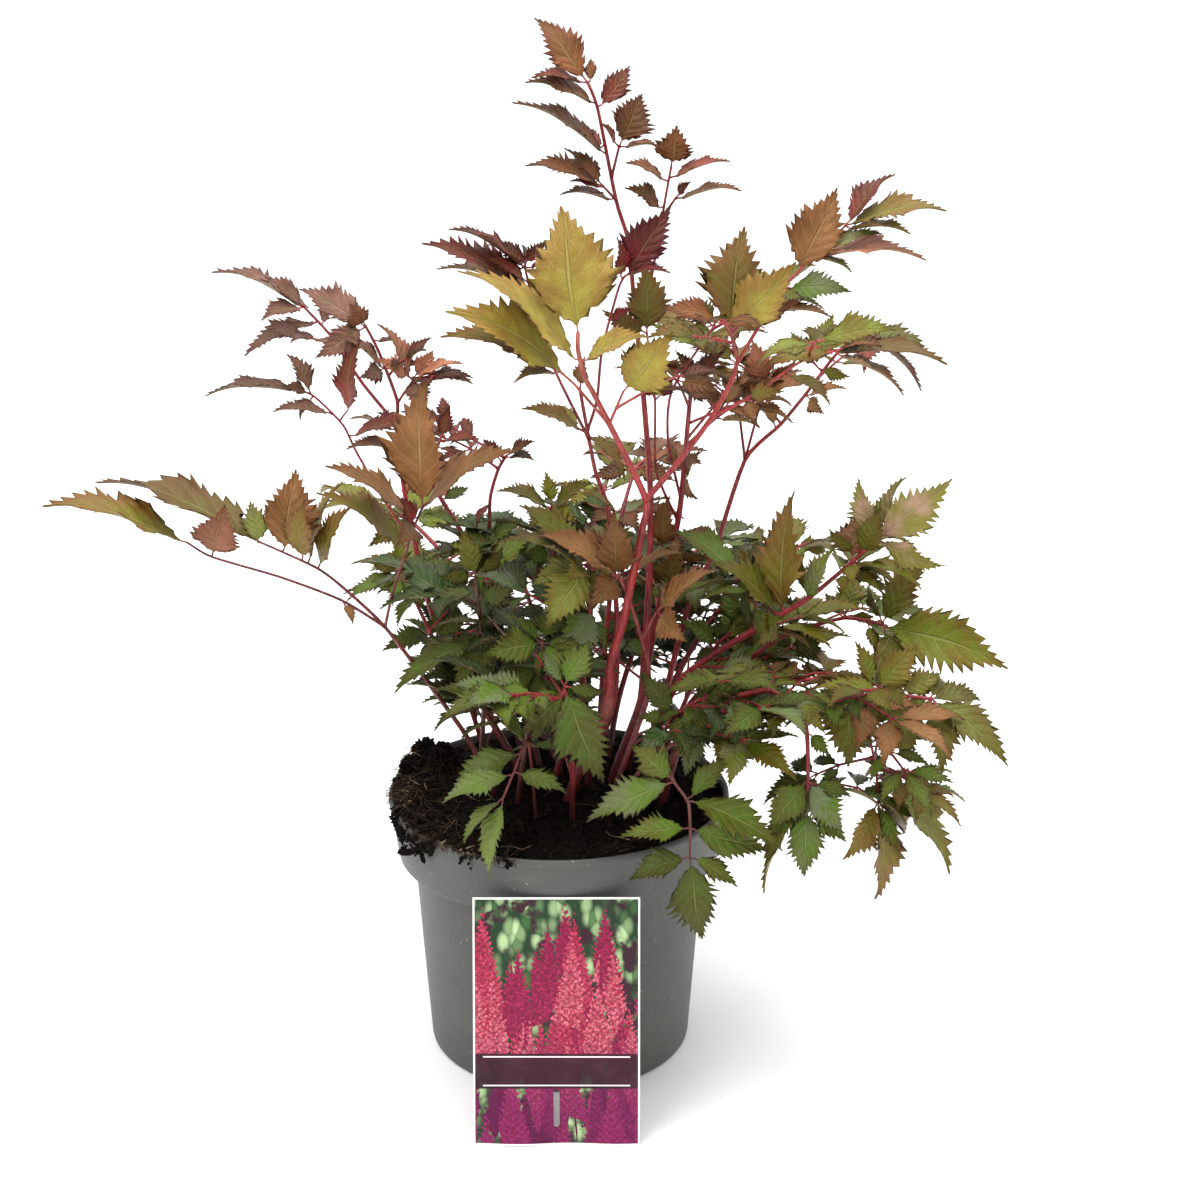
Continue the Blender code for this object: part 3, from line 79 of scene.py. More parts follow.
# Each leaf: root (x, y) on the compost, stalk radius at foot and tip, the stalk as (view x, view y,
# millimetres nearer than the pot's middle), side stalks as (view x, view y, millimetres nearer than
# where they join), and leaflets as (base x, base y, tip x, tip y, width seen, millimetres the tip comes
# nearer, tone), with the tones below
LEAVES = {
    "leaf_spire": dict(
        root=(30, 4), girth=(2.1, 0.7),
        stem=[(641, 700, -2), (646, 640, -6), (650, 560, -10), (650, 480, -16), (642, 380, -22),
              (634, 300, -26), (628, 240, -28), (616, 200, -30), (611, 172, -31), (605, 150, -32),
              (598, 110, -34), (588, 83, -36)],
        twigs=[[(636, 326), (650, 285, 6), (661, 222, 12), (666, 195, 14), (671, 168, 15)],
               [(611, 172), (619, 147, 4)], [(614, 200), (604, 187, 6)], [(663, 214), (675, 199, 5)]],
        leaves=[(588, 83, 534, 14, 18, -10, "b"), (590, 84, 591, 57, 6.5, -8, "b"),
                (588, 83, 531, 74, 2.5, 8, "r"), (597, 104, 525, 77, 5.5, 10, "b"),
                (600, 107, 631, 64, 13, -12, "r"), (603, 152, 514, 95, 7.5, 12, "b"),
                (601, 148, 577, 120, 4.5, -6, "r"), (619, 147, 643, 92, 20, -8, "b"),
                (618, 147, 602, 122, 3.5, 6, "r"), (620, 147, 660, 144, 3, 10, "b"),
                (604, 187, 565, 145, 8.5, -8, "b"), (603, 186, 525, 160, 6.5, 14, "b"),
                (604, 188, 570, 179, 5, 12, "r"), (614, 200, 560, 190, 2.5, 16, "r"),
                (671, 168, 677, 126, 19, 6, "b"), (670, 178, 730, 157, 6.5, 10, "r"),
                (668, 182, 627, 160, 5, 8, "b"), (675, 199, 742, 186, 4, 14, "b"),
                (675, 199, 690, 181, 5, 6, "r"), (662, 209, 626, 186, 8, 12, "b")]),
    "leaf_crimson": dict(
        root=(16, -2), girth=(1.9, 0.8),
        stem=[(614, 700, 8), (617, 620, 10), (613, 560, 12), (608, 510, 14), (595, 470, 16),
              (588, 435, 18), (583, 410, 19), (580, 390, 20)],
        twigs=[[(588, 436), (570, 400, 4), (557, 375, 6), (540, 330, 8), (532, 300, 9), (525, 268, 10)],
               [(588, 432), (597, 400, 6), (602, 350, 10), (608, 325, 12), (618, 290, 14), (624, 277, 15)]],
        leaves=[(627, 276, 672, 205, 21, -8, "c"), (621, 280, 619, 237, 7.5, 6, "c"),
                (625, 275, 670, 269, 4, 12, "c"), (609, 322, 632, 308, 5.5, 8, "c"),
                (525, 262, 498, 240, 9, 4, "m"), (526, 262, 547, 240, 8, -4, "m"),
                (525, 267, 450, 223, 4.5, 10, "m"), (527, 269, 546, 261, 2.5, 6, "r"),
                (538, 296, 549, 275, 4.5, 4, "m"), (532, 300, 424, 235, 9.5, 14, "r"),
                (529, 292, 436, 262, 6.5, 20, "n"), (528, 282, 486, 257, 7.5, 8, "r"),
                (560, 322, 530, 295, 10.6, 16, "p"), (580, 389, 584, 356, 7.5, 6, "n"),
                (585, 432, 523, 404, 6.5, 12, "o"), (588, 434, 628, 478, 7.5, 14, "o"),
                (610, 506, 583, 491, 3.2, 12, "o")]),
    "leaf_golden": dict(
        root=(6, -22), girth=(2.8, 1.0),
        stem=[(606, 712, 30), (611, 662, 36), (624, 618, 39), (633, 572, 41), (642, 530, 43),
              (645, 497, 44), (632, 470, 46), (620, 445, 48), (608, 420, 50), (597, 400, 52),
              (585, 378, 54), (578, 350, 56), (578, 333, 57)],
        twigs=[[(608, 420), (590, 405, 2), (575, 385, 4), (560, 372, 6)], [(613, 430), (616, 405, 4), (623, 392, 8)],
               [(645, 500), (680, 460, 0), (712, 417, -2), (733, 378, -4), (738, 362, -5), (758, 330, -8),
                (775, 300, -10), (790, 280, -12), (820, 252, -14), (845, 226, -16)],
               [(738, 362), (733, 345, 3), (729, 327, 6)],
               [(712, 418), (745, 400, 6), (775, 378, 10), (800, 362, 14), (835, 351, 18)]],
        leaves=[(578, 333, 560, 203, 40, -14, "y"), (576, 360, 462, 262, 16, 14, "y"),
                (566, 375, 449, 304, 19, 24, "y"), (560, 372, 513, 379, 6.5, 22, "o"),
                (550, 358, 440, 330, 3.5, 30, "o"), (582, 362, 648, 332, 8.5, 16, "y"),
                (623, 392, 672, 333, 26, 10, "y"), (845, 226, 894, 170, 10.6, -8, "r"),
                (846, 225, 948, 204, 8.5, 12, "o"), (846, 228, 912, 229, 3.2, 18, "o"),
                (824, 250, 883, 230, 7.5, 6, "g"), (815, 257, 929, 252, 5.3, 20, "p"),
                (822, 257, 853, 270, 4, 16, "g"), (798, 273, 838, 186, 26, -6, "n"),
                (731, 330, 796, 262, 24, 8, "y"), (729, 328, 745, 224, 29, -10, "o"),
                (786, 288, 852, 290, 14, 14, "d"), (762, 326, 800, 298, 7.5, 12, "r"),
                (770, 312, 832, 312, 5.3, 18, "n"), (833, 352, 950, 357, 8.5, 22, "o"),
                (832, 352, 764, 362, 11.7, 18, "o"), (826, 353, 865, 317, 8.5, -6, "o"),
                (748, 396, 783, 391, 9.5, 14, "o"), (785, 373, 833, 402, 4.8, 16, "o"),
                (750, 400, 753, 423, 9.5, 14, "n"), (836, 353, 908, 391, 5.3, 24, "n"),
                (835, 350, 882, 343, 3, 8, "p")]),
    "leaf_maroon": dict(
        root=(38, 20), girth=(2.4, 1.0),
        stem=[(640, 706, -18), (652, 640, -24), (664, 590, -27), (674, 540, -29), (681, 500, -30),
              (686, 450, -31), (690, 400, -32), (695, 378, -33)],
        twigs=[[(681, 500), (668, 440, 5), (672, 390, 8), (700, 345, 10), (715, 325, 11)],
               [(677, 522), (656, 470, 6), (655, 400, 10), (650, 360, 12), (647, 335, 13)]],
        leaves=[(694, 380, 676, 350, 9, 6, "m"), (696, 380, 724, 350, 9, 8, "m"),
                (690, 398, 712, 386, 9, 12, "o"), (706, 338, 768, 328, 6.5, 16, "o"),
                (700, 345, 650, 322, 12, -14, "s"), (713, 327, 690, 298, 14, -10, "s"),
                (647, 335, 645, 262, 22, -12, "o"), (655, 398, 638, 372, 9, 8, "c"),
                (656, 400, 674, 378, 8, -8, "c"), (662, 545, 668, 497, 15, 16, "n"),
                (674, 536, 722, 543, 8.5, 20, "n"), (686, 478, 700, 450, 6, 8, "n"),
                (662, 592, 684, 545, 18, 20, "o")]),
    "leaf_far_right": dict(
        root=(50, 14), girth=(1.8, 0.7),
        stem=[(664, 700, -24), (690, 600, -38), (714, 552, -48), (730, 500, -58), (745, 460, -66),
              (780, 425, -74), (805, 395, -80), (818, 378, -82), (833, 358, -86), (860, 330, -90)],
        twigs=[[(745, 460), (738, 400, -8), (737, 348, -14)], [(747, 458), (757, 420, 6), (765, 386, 10)]],
        leaves=[(812, 362, 834, 312, 16, -8, "s"), (765, 382, 752, 340, 16, 6, "p"),
                (737, 348, 722, 306, 9, -10, "n"), (860, 331, 932, 352, 8, 18, "s"),
                (861, 332, 927, 388, 5.3, 26, "r"), (776, 427, 760, 398, 7, -8, "n"),
                (805, 396, 846, 386, 6, 12, "n")]),
    "leaf_low_left": dict(
        root=(-36, -14), girth=(2.2, 0.8),
        stem=[(470, 742, 18), (446, 707, 24), (420, 675, 28), (385, 627, 33), (360, 603, 36),
              (340, 585, 39), (315, 567, 42), (300, 560, 44), (280, 551, 46), (262, 543, 48)],
        twigs=[[(387, 629), (360, 612, 5), (341, 600, 8), (310, 588, 12), (280, 577, 15),
                (250, 567, 17), (212, 557, 20), (188, 543, 22)],
               [(386, 628), (393, 592, 6), (405, 550, 11), (413, 530, 13), (423, 506, 15)]],
        leaves=[(188, 543, 42, 497, 15, 14, "o"), (262, 543, 95, 470, 18, -14, "o"),
                (212, 556, 225, 506, 22, 12, "p"), (258, 544, 250, 500, 14, -8, "s"),
                (284, 552, 296, 468, 27, -10, "n"), (303, 560, 302, 500, 10.6, 12, "o"),
                (308, 563, 338, 477, 6, -8, "o"), (318, 568, 350, 502, 10.6, 14, "o"),
                (343, 601, 354, 624, 5, 8, "n"), (422, 506, 422, 380, 26, 12, "n"),
                (415, 524, 328, 459, 8.5, 14, "n"), (422, 508, 515, 443, 14, 18, "n"),
                (405, 548, 320, 487, 14, 22, "o"), (414, 528, 400, 496, 7, 12, "c")]),
    "leaf_high_left": dict(
        root=(-22, 10), girth=(2.0, 0.7),
        stem=[(478, 698, -18), (457, 662, -28), (443, 640, -33), (428, 600, -42), (418, 560, -48),
              (412, 530, -52), (405, 495, -56), (401, 460, -60), (397, 430, -62), (397, 400, -64),
              (391, 383, -66), (378, 350, -68), (365, 325, -70)],
        twigs=[[(413, 536), (398, 522, -3), (372, 480, -8), (358, 455, -10), (343, 425, -12),
                (315, 397, -14), (300, 390, -15)], [(397, 404), (413, 380, 6)],
               [(405, 496), (425, 460, 8), (440, 441, 10)]],
        leaves=[(366, 327, 298, 285, 16, -8, "v"), (366, 326, 350, 304, 14, 8, "p"),
                (386, 370, 337, 333, 6.5, 12, "v"), (374, 341, 403, 340, 4.2, 8, "r"),
                (410, 378, 380, 320, 6.5, -10, "p"), (413, 379, 434, 350, 12, 4, "p"),
                (413, 379, 462, 360, 6.5, 12, "p"), (414, 381, 473, 379, 2.5, 20, "v"),
                (312, 395, 288, 352, 8.5, -6, "v"), (300, 390, 202, 390, 6.5, 10, "v"),
                (313, 396, 298, 420, 4.2, 8, "r"), (332, 413, 272, 408, 7.5, 14, "v"),
                (394, 430, 350, 415, 3.2, 12, "v"), (400, 450, 345, 445, 3.2, 16, "v"),
                (348, 410, 357, 340, 14, 8, "r"), (352, 436, 415, 420, 7.5, 14, "r"),
                (440, 441, 449, 406, 9, -4, "r"), (441, 441, 479, 437, 5, 10, "r"),
                (436, 446, 462, 456, 4, 12, "r")]),
    "leaf_far_left": dict(
        root=(-12, 26), girth=(1.8, 0.7),
        stem=[(510, 660, -56), (488, 580, -76), (475, 555, -82), (455, 520, -88), (440, 497, -92),
              (400, 430, -102), (380, 405, -106), (363, 384, -108), (343, 353, -112),
              (330, 335, -114), (305, 308, -118)],
       
        leaves=[(305, 308, 212, 265, 6.5, -8, "v"), (303, 306, 266, 275, 8.5, 10, "v"),
                (318, 322, 241, 352, 8.5, 16, "v"), (322, 326, 330, 298, 7, 4, "v"),
                (402, 433, 378, 410, 5, 12, "v"), (343, 353, 366, 346, 5, 14, "v"),
                (442, 500, 470, 486, 8, -12, "d"), (458, 524, 425, 512, 7, 14, "d")]),
    "leaf_slim_left": dict(
        root=(0, 18), girth=(1.4, 0.8),
        stem=[(520, 690, -40), (496, 620, -50), (490, 560, -54), (490, 500, -57), (498, 470, -58),
              (506, 456, -58)],
       
        leaves=[(491, 500, 475, 528, 4.2, 10, "m"), (506, 456, 534, 440, 6, 6, "m"),
                (505, 457, 534, 458, 4, 12, "m"), (502, 462, 482, 438, 8, -8, "m"),
                (491, 540, 520, 520, 10, 14, "d"), (491, 552, 462, 540, 10, -10, "d")]),
    "leaf_brown": dict(
        root=(30, -18), girth=(1.5, 0.8),
        stem=[(646, 704, 22), (648, 664, 28), (640, 636, 32), (630, 602, 36), (620, 578, 38)],
        twigs=[[(640, 638), (656, 613, 8)]],
        leaves=[(619, 577, 612, 510, 21, 16, "n"), (618, 578, 540, 530, 6.5, 22, "n"),
                (622, 580, 680, 548, 3.2, 24, "n"), (656, 613, 716, 565, 10.6, 16, "n")]),
    "leaf_mid_right": dict(
        root=(52, -6), girth=(2.2, 0.8),
        stem=[(662, 716, 8), (684, 676, 12), (720, 650, 18), (745, 635, 22), (783, 613, 28),
              (810, 597, 32), (835, 578, 36), (853, 561, 38), (876, 541, 42)],
       
        leaves=[(877, 540, 953, 478, 23, 6, "u"), (877, 538, 903, 473, 7.5, -12, "u"),
                (852, 561, 858, 512, 18, -8, "n"), (862, 552, 880, 508, 16, 12, "g"),
                (856, 562, 925, 585, 4.2, 20, "g"), (846, 570, 885, 592, 7.5, 18, "g"),
                (782, 611, 789, 488, 22, -8, "o"), (778, 614, 712, 558, 10.6, 16, "s"),
                (806, 598, 833, 545, 13, 12, "g"), (750, 630, 752, 538, 8.5, -12, "d")]),
    "leaf_right": dict(
        root=(60, 4), girth=(1.9, 0.8),
        stem=[(690, 704, -8), (728, 674, -10), (762, 649, -10), (780, 638, -10), (820, 624, -8),
              (845, 618, -6), (870, 621, -2), (882, 625, 2)],
       
        leaves=[(884, 626, 1012, 667, 30, 20, "g"), (866, 622, 905, 646, 8.5, 16, "g"),
                (882, 623, 930, 555, 18, -4, "g"), (845, 616, 858, 572, 15, -8, "g"),
                (800, 631, 780, 590, 13, -12, "d"), (790, 634, 830, 660, 13, 12, "d")]),
    "leaf_low_right": dict(
        root=(58, -20), girth=(2.1, 0.8),
        stem=[(694, 706, 30), (742, 686, 36), (800, 680, 41), (820, 681, 43), (840, 690, 45),
              (875, 690, 48), (900, 695, 50), (932, 699, 54)],
        twigs=[[(856, 691), (868, 730, 8), (876, 770, 12), (878, 800, 15)]],
        leaves=[(933, 700, 1013, 765, 19, 14, "s"), (930, 698, 984, 698, 10.6, -10, "s"),
                (898, 693, 943, 672, 14, -8, "s"), (901, 698, 910, 764, 21, 16, "s"),
                (868, 694, 826, 716, 11.7, 14, "d"), (850, 694, 848, 768, 30, 20, "s"),
                (878, 688, 918, 645, 18, -8, "g"), (872, 688, 856, 640, 10.6, -12, "g"),
                (878, 774, 958, 872, 11.7, 16, "s"), (879, 801, 945, 817, 11.7, 12, "d"),
                (878, 802, 881, 903, 13, 8, "o")]),
    "leaf_hanging": dict(
        root=(42, -32), girth=(2.4, 0.8),
        stem=[(668, 762, 40), (700, 735, 50), (732, 700, 58), (770, 690, 66), (790, 706, 72),
              (806, 726, 77), (808, 750, 80), (808, 780, 83), (805, 805, 85)],
       
        leaves=[(809, 781, 843, 833, 18, 8, "d"), (806, 781, 768, 832, 18, 12, "d"),
                (805, 806, 804, 880, 19, 4, "d"), (803, 805, 757, 893, 9.5, 12, "s"),
                (768, 691, 812, 740, 8.5, 14, "d"), (808, 732, 830, 756, 8.5, 10, "d")]),
    "leaf_over_rim": dict(
        root=(28, -40), girth=(1.6, 0.8),
        stem=[(660, 748, 62), (667, 764, 74), (674, 782, 84), (688, 802, 95), (690, 828, 102),
              (690, 858, 107)],
       
        leaves=[(674, 781, 630, 745, 18, -10, "d"), (672, 782, 583, 820, 19, 12, "d"),
                (690, 800, 788, 848, 18, 12, "d"), (690, 798, 737, 752, 12.7, -10, "d"),
                (689, 828, 618, 835, 14, 8, "d"), (692, 829, 772, 852, 19, 10, "d"),
                (689, 857, 626, 880, 14, 2, "d"), (692, 857, 740, 886, 10.6, 4, "d"),
                (690, 860, 703, 943, 24, 4, "d")]),
    "leaf_front_left": dict(
        root=(-12, -42), girth=(1.6, 0.8),
        stem=[(528, 742, 58), (514, 772, 74), (503, 798, 84)],
       
        leaves=[(522, 752, 444, 795, 14, 6, "f"), (512, 774, 440, 800, 12.7, 14, "f"),
                (515, 772, 568, 792, 11.7, 10, "f"), (502, 798, 460, 842, 5.3, 8, "f"),
                (503, 800, 487, 882, 12.7, 14, "f"), (526, 744, 485, 700, 7, -8, "f"),
                (529, 744, 576, 752, 7.5, 14, "f")]),
    "leaf_mound_a": dict(
        root=(-22, -26), girth=(1.5, 0.8),
        stem=[(532, 706, 36), (537, 670, 42), (542, 642, 46)],
        leaves=[(541, 643, 483, 655, 19, 14, "d"), (543, 645, 582, 680, 19, 16, "d"),
                (537, 672, 522, 725, 16, 16, "d"), (536, 668, 478, 700, 19, 8, "d"),
                (542, 641, 560, 600, 18, -6, "d")]),
    "leaf_mound_b": dict(
        root=(-44, 2), girth=(1.6, 0.8),
        stem=[(484, 704, 6), (484, 660, 14), (480, 620, 18), (476, 578, 22)],
        leaves=[(480, 634, 455, 695, 15, 18, "d"), (480, 640, 390, 688, 12, 18, "d"),
                (476, 590, 428, 606, 8, 16, "d"), (476, 578, 462, 528, 12.7, 4, "s"),
                (478, 600, 520, 582, 14, 12, "d"), (484, 650, 520, 660, 14, 12, "d")]),
    "leaf_mound_c": dict(
        root=(-40, 22), girth=(1.6, 0.8),
        stem=[(464, 690, -14), (432, 636, -20), (412, 596, -24), (403, 574, -26)],
        leaves=[(402, 575, 343, 600, 10.6, 14, "d"), (402, 573, 362, 560, 7.5, -8, "d"),
                (406, 576, 462, 562, 9, 14, "d"), (403, 572, 396, 530, 10, -6, "g"),
                (432, 634, 380, 650, 12, 12, "d"), (436, 640, 470, 612, 12, -6, "d")]),
    "leaf_mound_d": dict(
        root=(-4, -12), girth=(1.8, 0.8),
        stem=[(580, 700, 24), (586, 650, 30), (590, 605, 34), (588, 562, 37)],
        leaves=[(588, 563, 545, 630, 24, 20, "s"), (586, 562, 520, 500, 10.6, 8, "g"),
                (586, 566, 500, 534, 5.3, 18, "g"), (590, 560, 600, 520, 12, -12, "g"),
                (592, 612, 566, 664, 23, 18, "d"), (592, 620, 545, 596, 16, -8, "d")]),
    "leaf_mound_e": dict(
        root=(8, -46), girth=(1.5, 0.9),
        stem=[(572, 734, 62), (566, 704, 66), (564, 688, 68)],
        leaves=[(564, 688, 605, 785, 29, 16, "d"), (565, 692, 520, 736, 18, 14, "d"),
                (564, 686, 590, 640, 18, -8, "d")]),
    "leaf_mound_f": dict(
        root=(44, -14), girth=(1.5, 0.8),
        stem=[(668, 724, 34), (684, 708, 42), (700, 700, 46)],
        leaves=[(690, 706, 778, 765, 23, 14, "d"), (684, 708, 684, 756, 16, 14, "d"),
                (700, 700, 752, 690, 16, 6, "d"), (672, 716, 640, 670, 14, -10, "d")]),
    "leaf_mound_g": dict(
        root=(56, 20), girth=(1.6, 0.8),
        stem=[(684, 704, -30), (702, 668, -34), (720, 642, -38), (738, 628, -42)],
        leaves=[(738, 628, 725, 583, 12.7, -8, "d"), (718, 644, 678, 618, 12, 10, "d"),
                (740, 628, 792, 652, 14, 14, "d"), (704, 668, 764, 700, 16, 16, "d"),
                (724, 640, 770, 606, 12, -10, "s")]),
    "leaf_mound_h": dict(
        root=(6, 26), girth=(1.6, 0.8),
        stem=[(552, 650, -44), (556, 590, -50), (552, 508, -56)],
        leaves=[(551, 509, 497, 487, 6.5, 12, "g"), (553, 510, 592, 480, 8, 10, "g"),
                (554, 560, 512, 548, 12, 12, "d"), (556, 562, 608, 548, 12, 14, "d"),
                (552, 508, 546, 470, 9, -8, "g")]),
}

# Leaves on the side turned away: bearing in degrees (90 is away), reach, height, root (x, y), size, tone
AWAY_LEAVES = {
    "leaf_away_a": (36, 150, 112, (50, 34), 46, "g"), "leaf_away_b": (60, 132, 96, (28, 44), 46, "d"),
    "leaf_away_c": (84, 150, 128, (14, 50), 50, "g"), "leaf_away_d": (104, 128, 84, (-4, 46), 44, "d"),
    "leaf_away_e": (128, 158, 118, (-22, 42), 48, "g"), "leaf_away_f": (72, 96, 158, (22, 32), 42, "b"),
}
UP = Vector((0.0, 0.0, 1.0))


def spot(px, py, near):
    """The place seen at a point of the view, a given way nearer than the pot's middle."""
    across, up = (px - 600.0) / VIEW_REACH, (600.0 - py) / VIEW_REACH
    ray = Vector((across, math.cos(VIEW_DOWN) + up * math.sin(VIEW_DOWN),
                  up * math.cos(VIEW_DOWN) - math.sin(VIEW_DOWN)))
    return VIEW_FROM + ray * ((-near - VIEW_FROM.y) / ray.y)


def seen(place):
    """Where in the view a place is seen."""
    way = place - VIEW_FROM
    deep = way.y * math.cos(VIEW_DOWN) - way.z * math.sin(VIEW_DOWN)
    high = way.y * math.sin(VIEW_DOWN) + way.z * math.cos(VIEW_DOWN)
    return 600.0 + VIEW_REACH * way.x / deep, 600.0 - VIEW_REACH * high / deep


def soil_height(x, y):
    """Top of the compost without its lumps."""
    far = min(1.0, math.hypot(x, y) / SOIL_REACH)
    return SOIL_TOP + SOIL_DOME * (1.0 - far * far)


def level(degrees):
    """The level direction with this bearing."""
    return Vector((math.cos(math.radians(degrees)), math.sin(math.radians(degrees)), 0.0))


def squared(face, way):
    """A direction made square to another."""
    return (face - way * face.dot(way)).normalized()


def rotated(way, degrees, axis):
    """A direction turned by so many degrees about an axis."""
    return Matrix.Rotation(math.radians(degrees), 3, axis) @ way


def spaced_roots(wanted):
    """Root places pushed apart until no two are closer than the spacing."""
    places = [Vector((x, y, 0.0)) for x, y in wanted]
    for _ in range(ROOT_ROUNDS):
        for i, a in enumerate(places):
            for b in places[i + 1:]:
                apart = b - a
                short = ROOT_SPACING - apart.length
                if short > 0:
                    push = Vector((0.5, 0.3, 0))
                    if apart.length > 0.1:
                        push = apart.normalized() * (short / 2 + 0.02)
                    a -= push
                    b += push
        for a in places:
            if a.length > ROOT_REACH:
                a *= ROOT_REACH / a.length
    return [(a.x, a.y) for a in places]


def closest_of_segments(p1, q1, p2, q2):
    """Shortest way from one segment to another, and where it starts on the first."""
    d1, d2, r = q1 - p1, q2 - p2, p1 - p2
    a, e, f = d1.dot(d1), d2.dot(d2), d2.dot(r)
    c, b = d1.dot(r), d1.dot(d2)
    denom = a * e - b * b
    s = min(1.0, max(0.0, (b * f - c * e) / denom)) if denom > 1e-9 else 0.0
    t = min(1.0, max(0.0, (b * s + f) / e))
    s = min(1.0, max(0.0, (b * t - c) / a))
    return (p2 + d2 * t) - (p1 + d1 * s), s


def pushed_clear(points, radii, others):
    """A stalk's points, all but its foot, moved along the line of sight until the stalk clears the others."""
    points = [p.copy() for p in points]
    for _ in range(PUSH_ROUNDS):
        worst = None
        for i in range(1, len(points) - 1):
            for other, other_radii in others:
                for j in range(len(other) - 1):
                    if (other[j] - points[i]).length > NEIGHBOUR_REACH:
                        continue
                    way, s = closest_of_segments(points[i], points[i + 1], other[j], other[j + 1])
                    short = radii[i] + other_radii[j] + STEM_GAP - way.length
                    if short > 0 and (worst is None or short > worst[0]):
                        worst = (short, i, s, way)
        if worst is None:
            return points
        short, i, s, way = worst
        sight = (points[i] - VIEW_FROM).normalized()
        side = -1.0 if way.dot(sight) >= 0 else 1.0
        centre = points[i].lerp(points[i + 1], s)
        for k in range(1, len(points)):
            share = max(0.0, 1.0 - (points[k] - centre).length / BEND_REACH)
            points[k] += sight * side * (short + 0.4) * share
        points[i if s < 0.5 else i + 1] += sight * side * 0.5
    return points


def straightened(points, keep):
    """A stalk's points without those that lie on a straight run, after the first few."""
    points = list(points)
    k = keep
    while k < len(points) - 1:
        a, b = points[k - 1], points[k + 1]
        along = (b - a).normalized()
        off = points[k] - a
        if (off - along * off.dot(along)).length < STALK_STRAIGHT and (b - a).length < LONGEST_RUN:
            points.pop(k)
        else:
            k += 1
    return points


def tapered(points, girth):
    """A radius for each point, from the first to the last girth along the way."""
    length = [0.0]
    for a, b in zip(points, points[1:]):
        length.append(length[-1] + (b - a).length)
    return [girth[0] + (girth[1] - girth[0]) * v / length[-1] for v in length]


def place_on(paths, px, py, steps=8):
    """The nearest place, as seen, on a leaf's stalks."""
    least, nearest = math.inf, None
    for points, _ in paths:
        start = 2 if points[0].z < SOIL_TOP + SOIL_DOME else 0
        for i in range(start, len(points) - 1):
            for step in range(steps + 1):
                here = points[i].lerp(points[i + 1], step / steps)
                sx, sy = seen(here)
                far = math.hypot(sx - px, sy - py)
                if far < least - 1e-6:
                    least, nearest = far, here
    return nearest


def grown_leaves():
    """Every leaf as (name, stalk paths, wanted leaflets), with stalks clear of one another."""
    names = list(LEAVES) + list(AWAY_LEAVES)
    wanted = [LEAVES[n]["root"] if n in LEAVES else AWAY_LEAVES[n][3] for n in names]
    standing, grown = [], []
    for name, (x, y) in zip(names, spaced_roots(wanted)):
        top = soil_height(x, y)
        foot = [Vector((x, y, top - HOLE_DEPTH + 0.4)), Vector((x, y, top + 3.0))]
        spec = LEAVES.get(name, {})
        if spec:
            points = straightened(foot + [spot(*p) for p in spec["stem"]], 3)
        else:
            bearing, reach, height, *_ = AWAY_LEAVES[name]
            points = foot + [Vector((x, y, top)) + level(bearing) * (reach * v ** 1.5)
                             + Vector((0, 0, height * math.sin(1.75 * v))) for v in (0.2, 0.4, 0.6, 0.8, 1.0)]
        radii = tapered(points, spec.get("girth", AWAY_R))
        points = pushed_clear(points, radii, standing)
        paths = [(points, radii)]
        standing.append((points, radii))
        for twig in spec.get("twigs", []):
            start = place_on(paths, *twig[0])
            line = straightened([start] + [spot(px, py, more - start.y) for px, py, more in twig[1:]], 1)
            sizes = tapered(line, TWIG_R)
            line = pushed_clear(line, sizes, [s for s in standing if s[0] is not points])
            paths.append((line, sizes))
            standing.append((line, sizes))
        found = traced_leaflets(name, paths) if spec else away_leaflets(name, points)
        grown.append((name, paths, found))
    return grown


def traced_leaflets(name, paths):
    """Leaflets as (root on the stalk, blade base, tip, width, face, way the tip may slide, tone)."""
    made = []
    for bx, by, tx, ty, seen_width, nearer, tone in LEAVES[name]["leaves"]:
        root = place_on(paths, bx, by)
        base = spot(bx, by, -root.y)
        tip = spot(tx, ty, -root.y + nearer)
        width = max(seen_width, SLENDER * (tip - base).length)
        midrib = (tip - base).normalized()
        face = squared((VIEW_FROM - (base + tip) / 2).normalized(), midrib)
        # A blade that looks narrower than it is stands turned, with its upper side up
        turn = math.acos(min(1.0, seen_width / width))
        choices = [face * math.cos(turn) + midrib.cross(face) * math.sin(turn) * s for s in (1, -1)]
        face = max(choices, key=lambda v: v.z)
        made.append((root, base, tip, width, face, (tip - VIEW_FROM).normalized(), tone))
    return made


def away_leaflets(name, points):
    """Leaflets of a leaf turned away, in the same form: one at the end and two pairs below it."""
    made = []
    *_, size, tone = AWAY_LEAVES[name]
    seed = 7 * list(AWAY_LEAVES).index(name)
    for order, (i, side) in enumerate([(6, 0), (5, 1), (5, -1), (4, 1), (4, -1)]):
        here = points[i]
        along = (points[i] - points[i - 1]).normalized()
        flat = along.cross(UP).normalized()
        vary = noise.noise(Vector((seed + order * 1.7, 0.3, 0.6)))
        way = along if side == 0 else (along * (0.55 + 0.3 * vary) + flat * side)
        way = (way + UP * (0.12 + 0.5 * vary - 0.10 * order)).normalized()
        length = size * (1.15 if side == 0 else 1.0 - 0.05 * order) * (1 + 0.25 * vary)
        base = here + way * 4.0
        made.append((here, base, base + way * length, 0.48 * length, squared(UP, way), UP, tone))
    return made


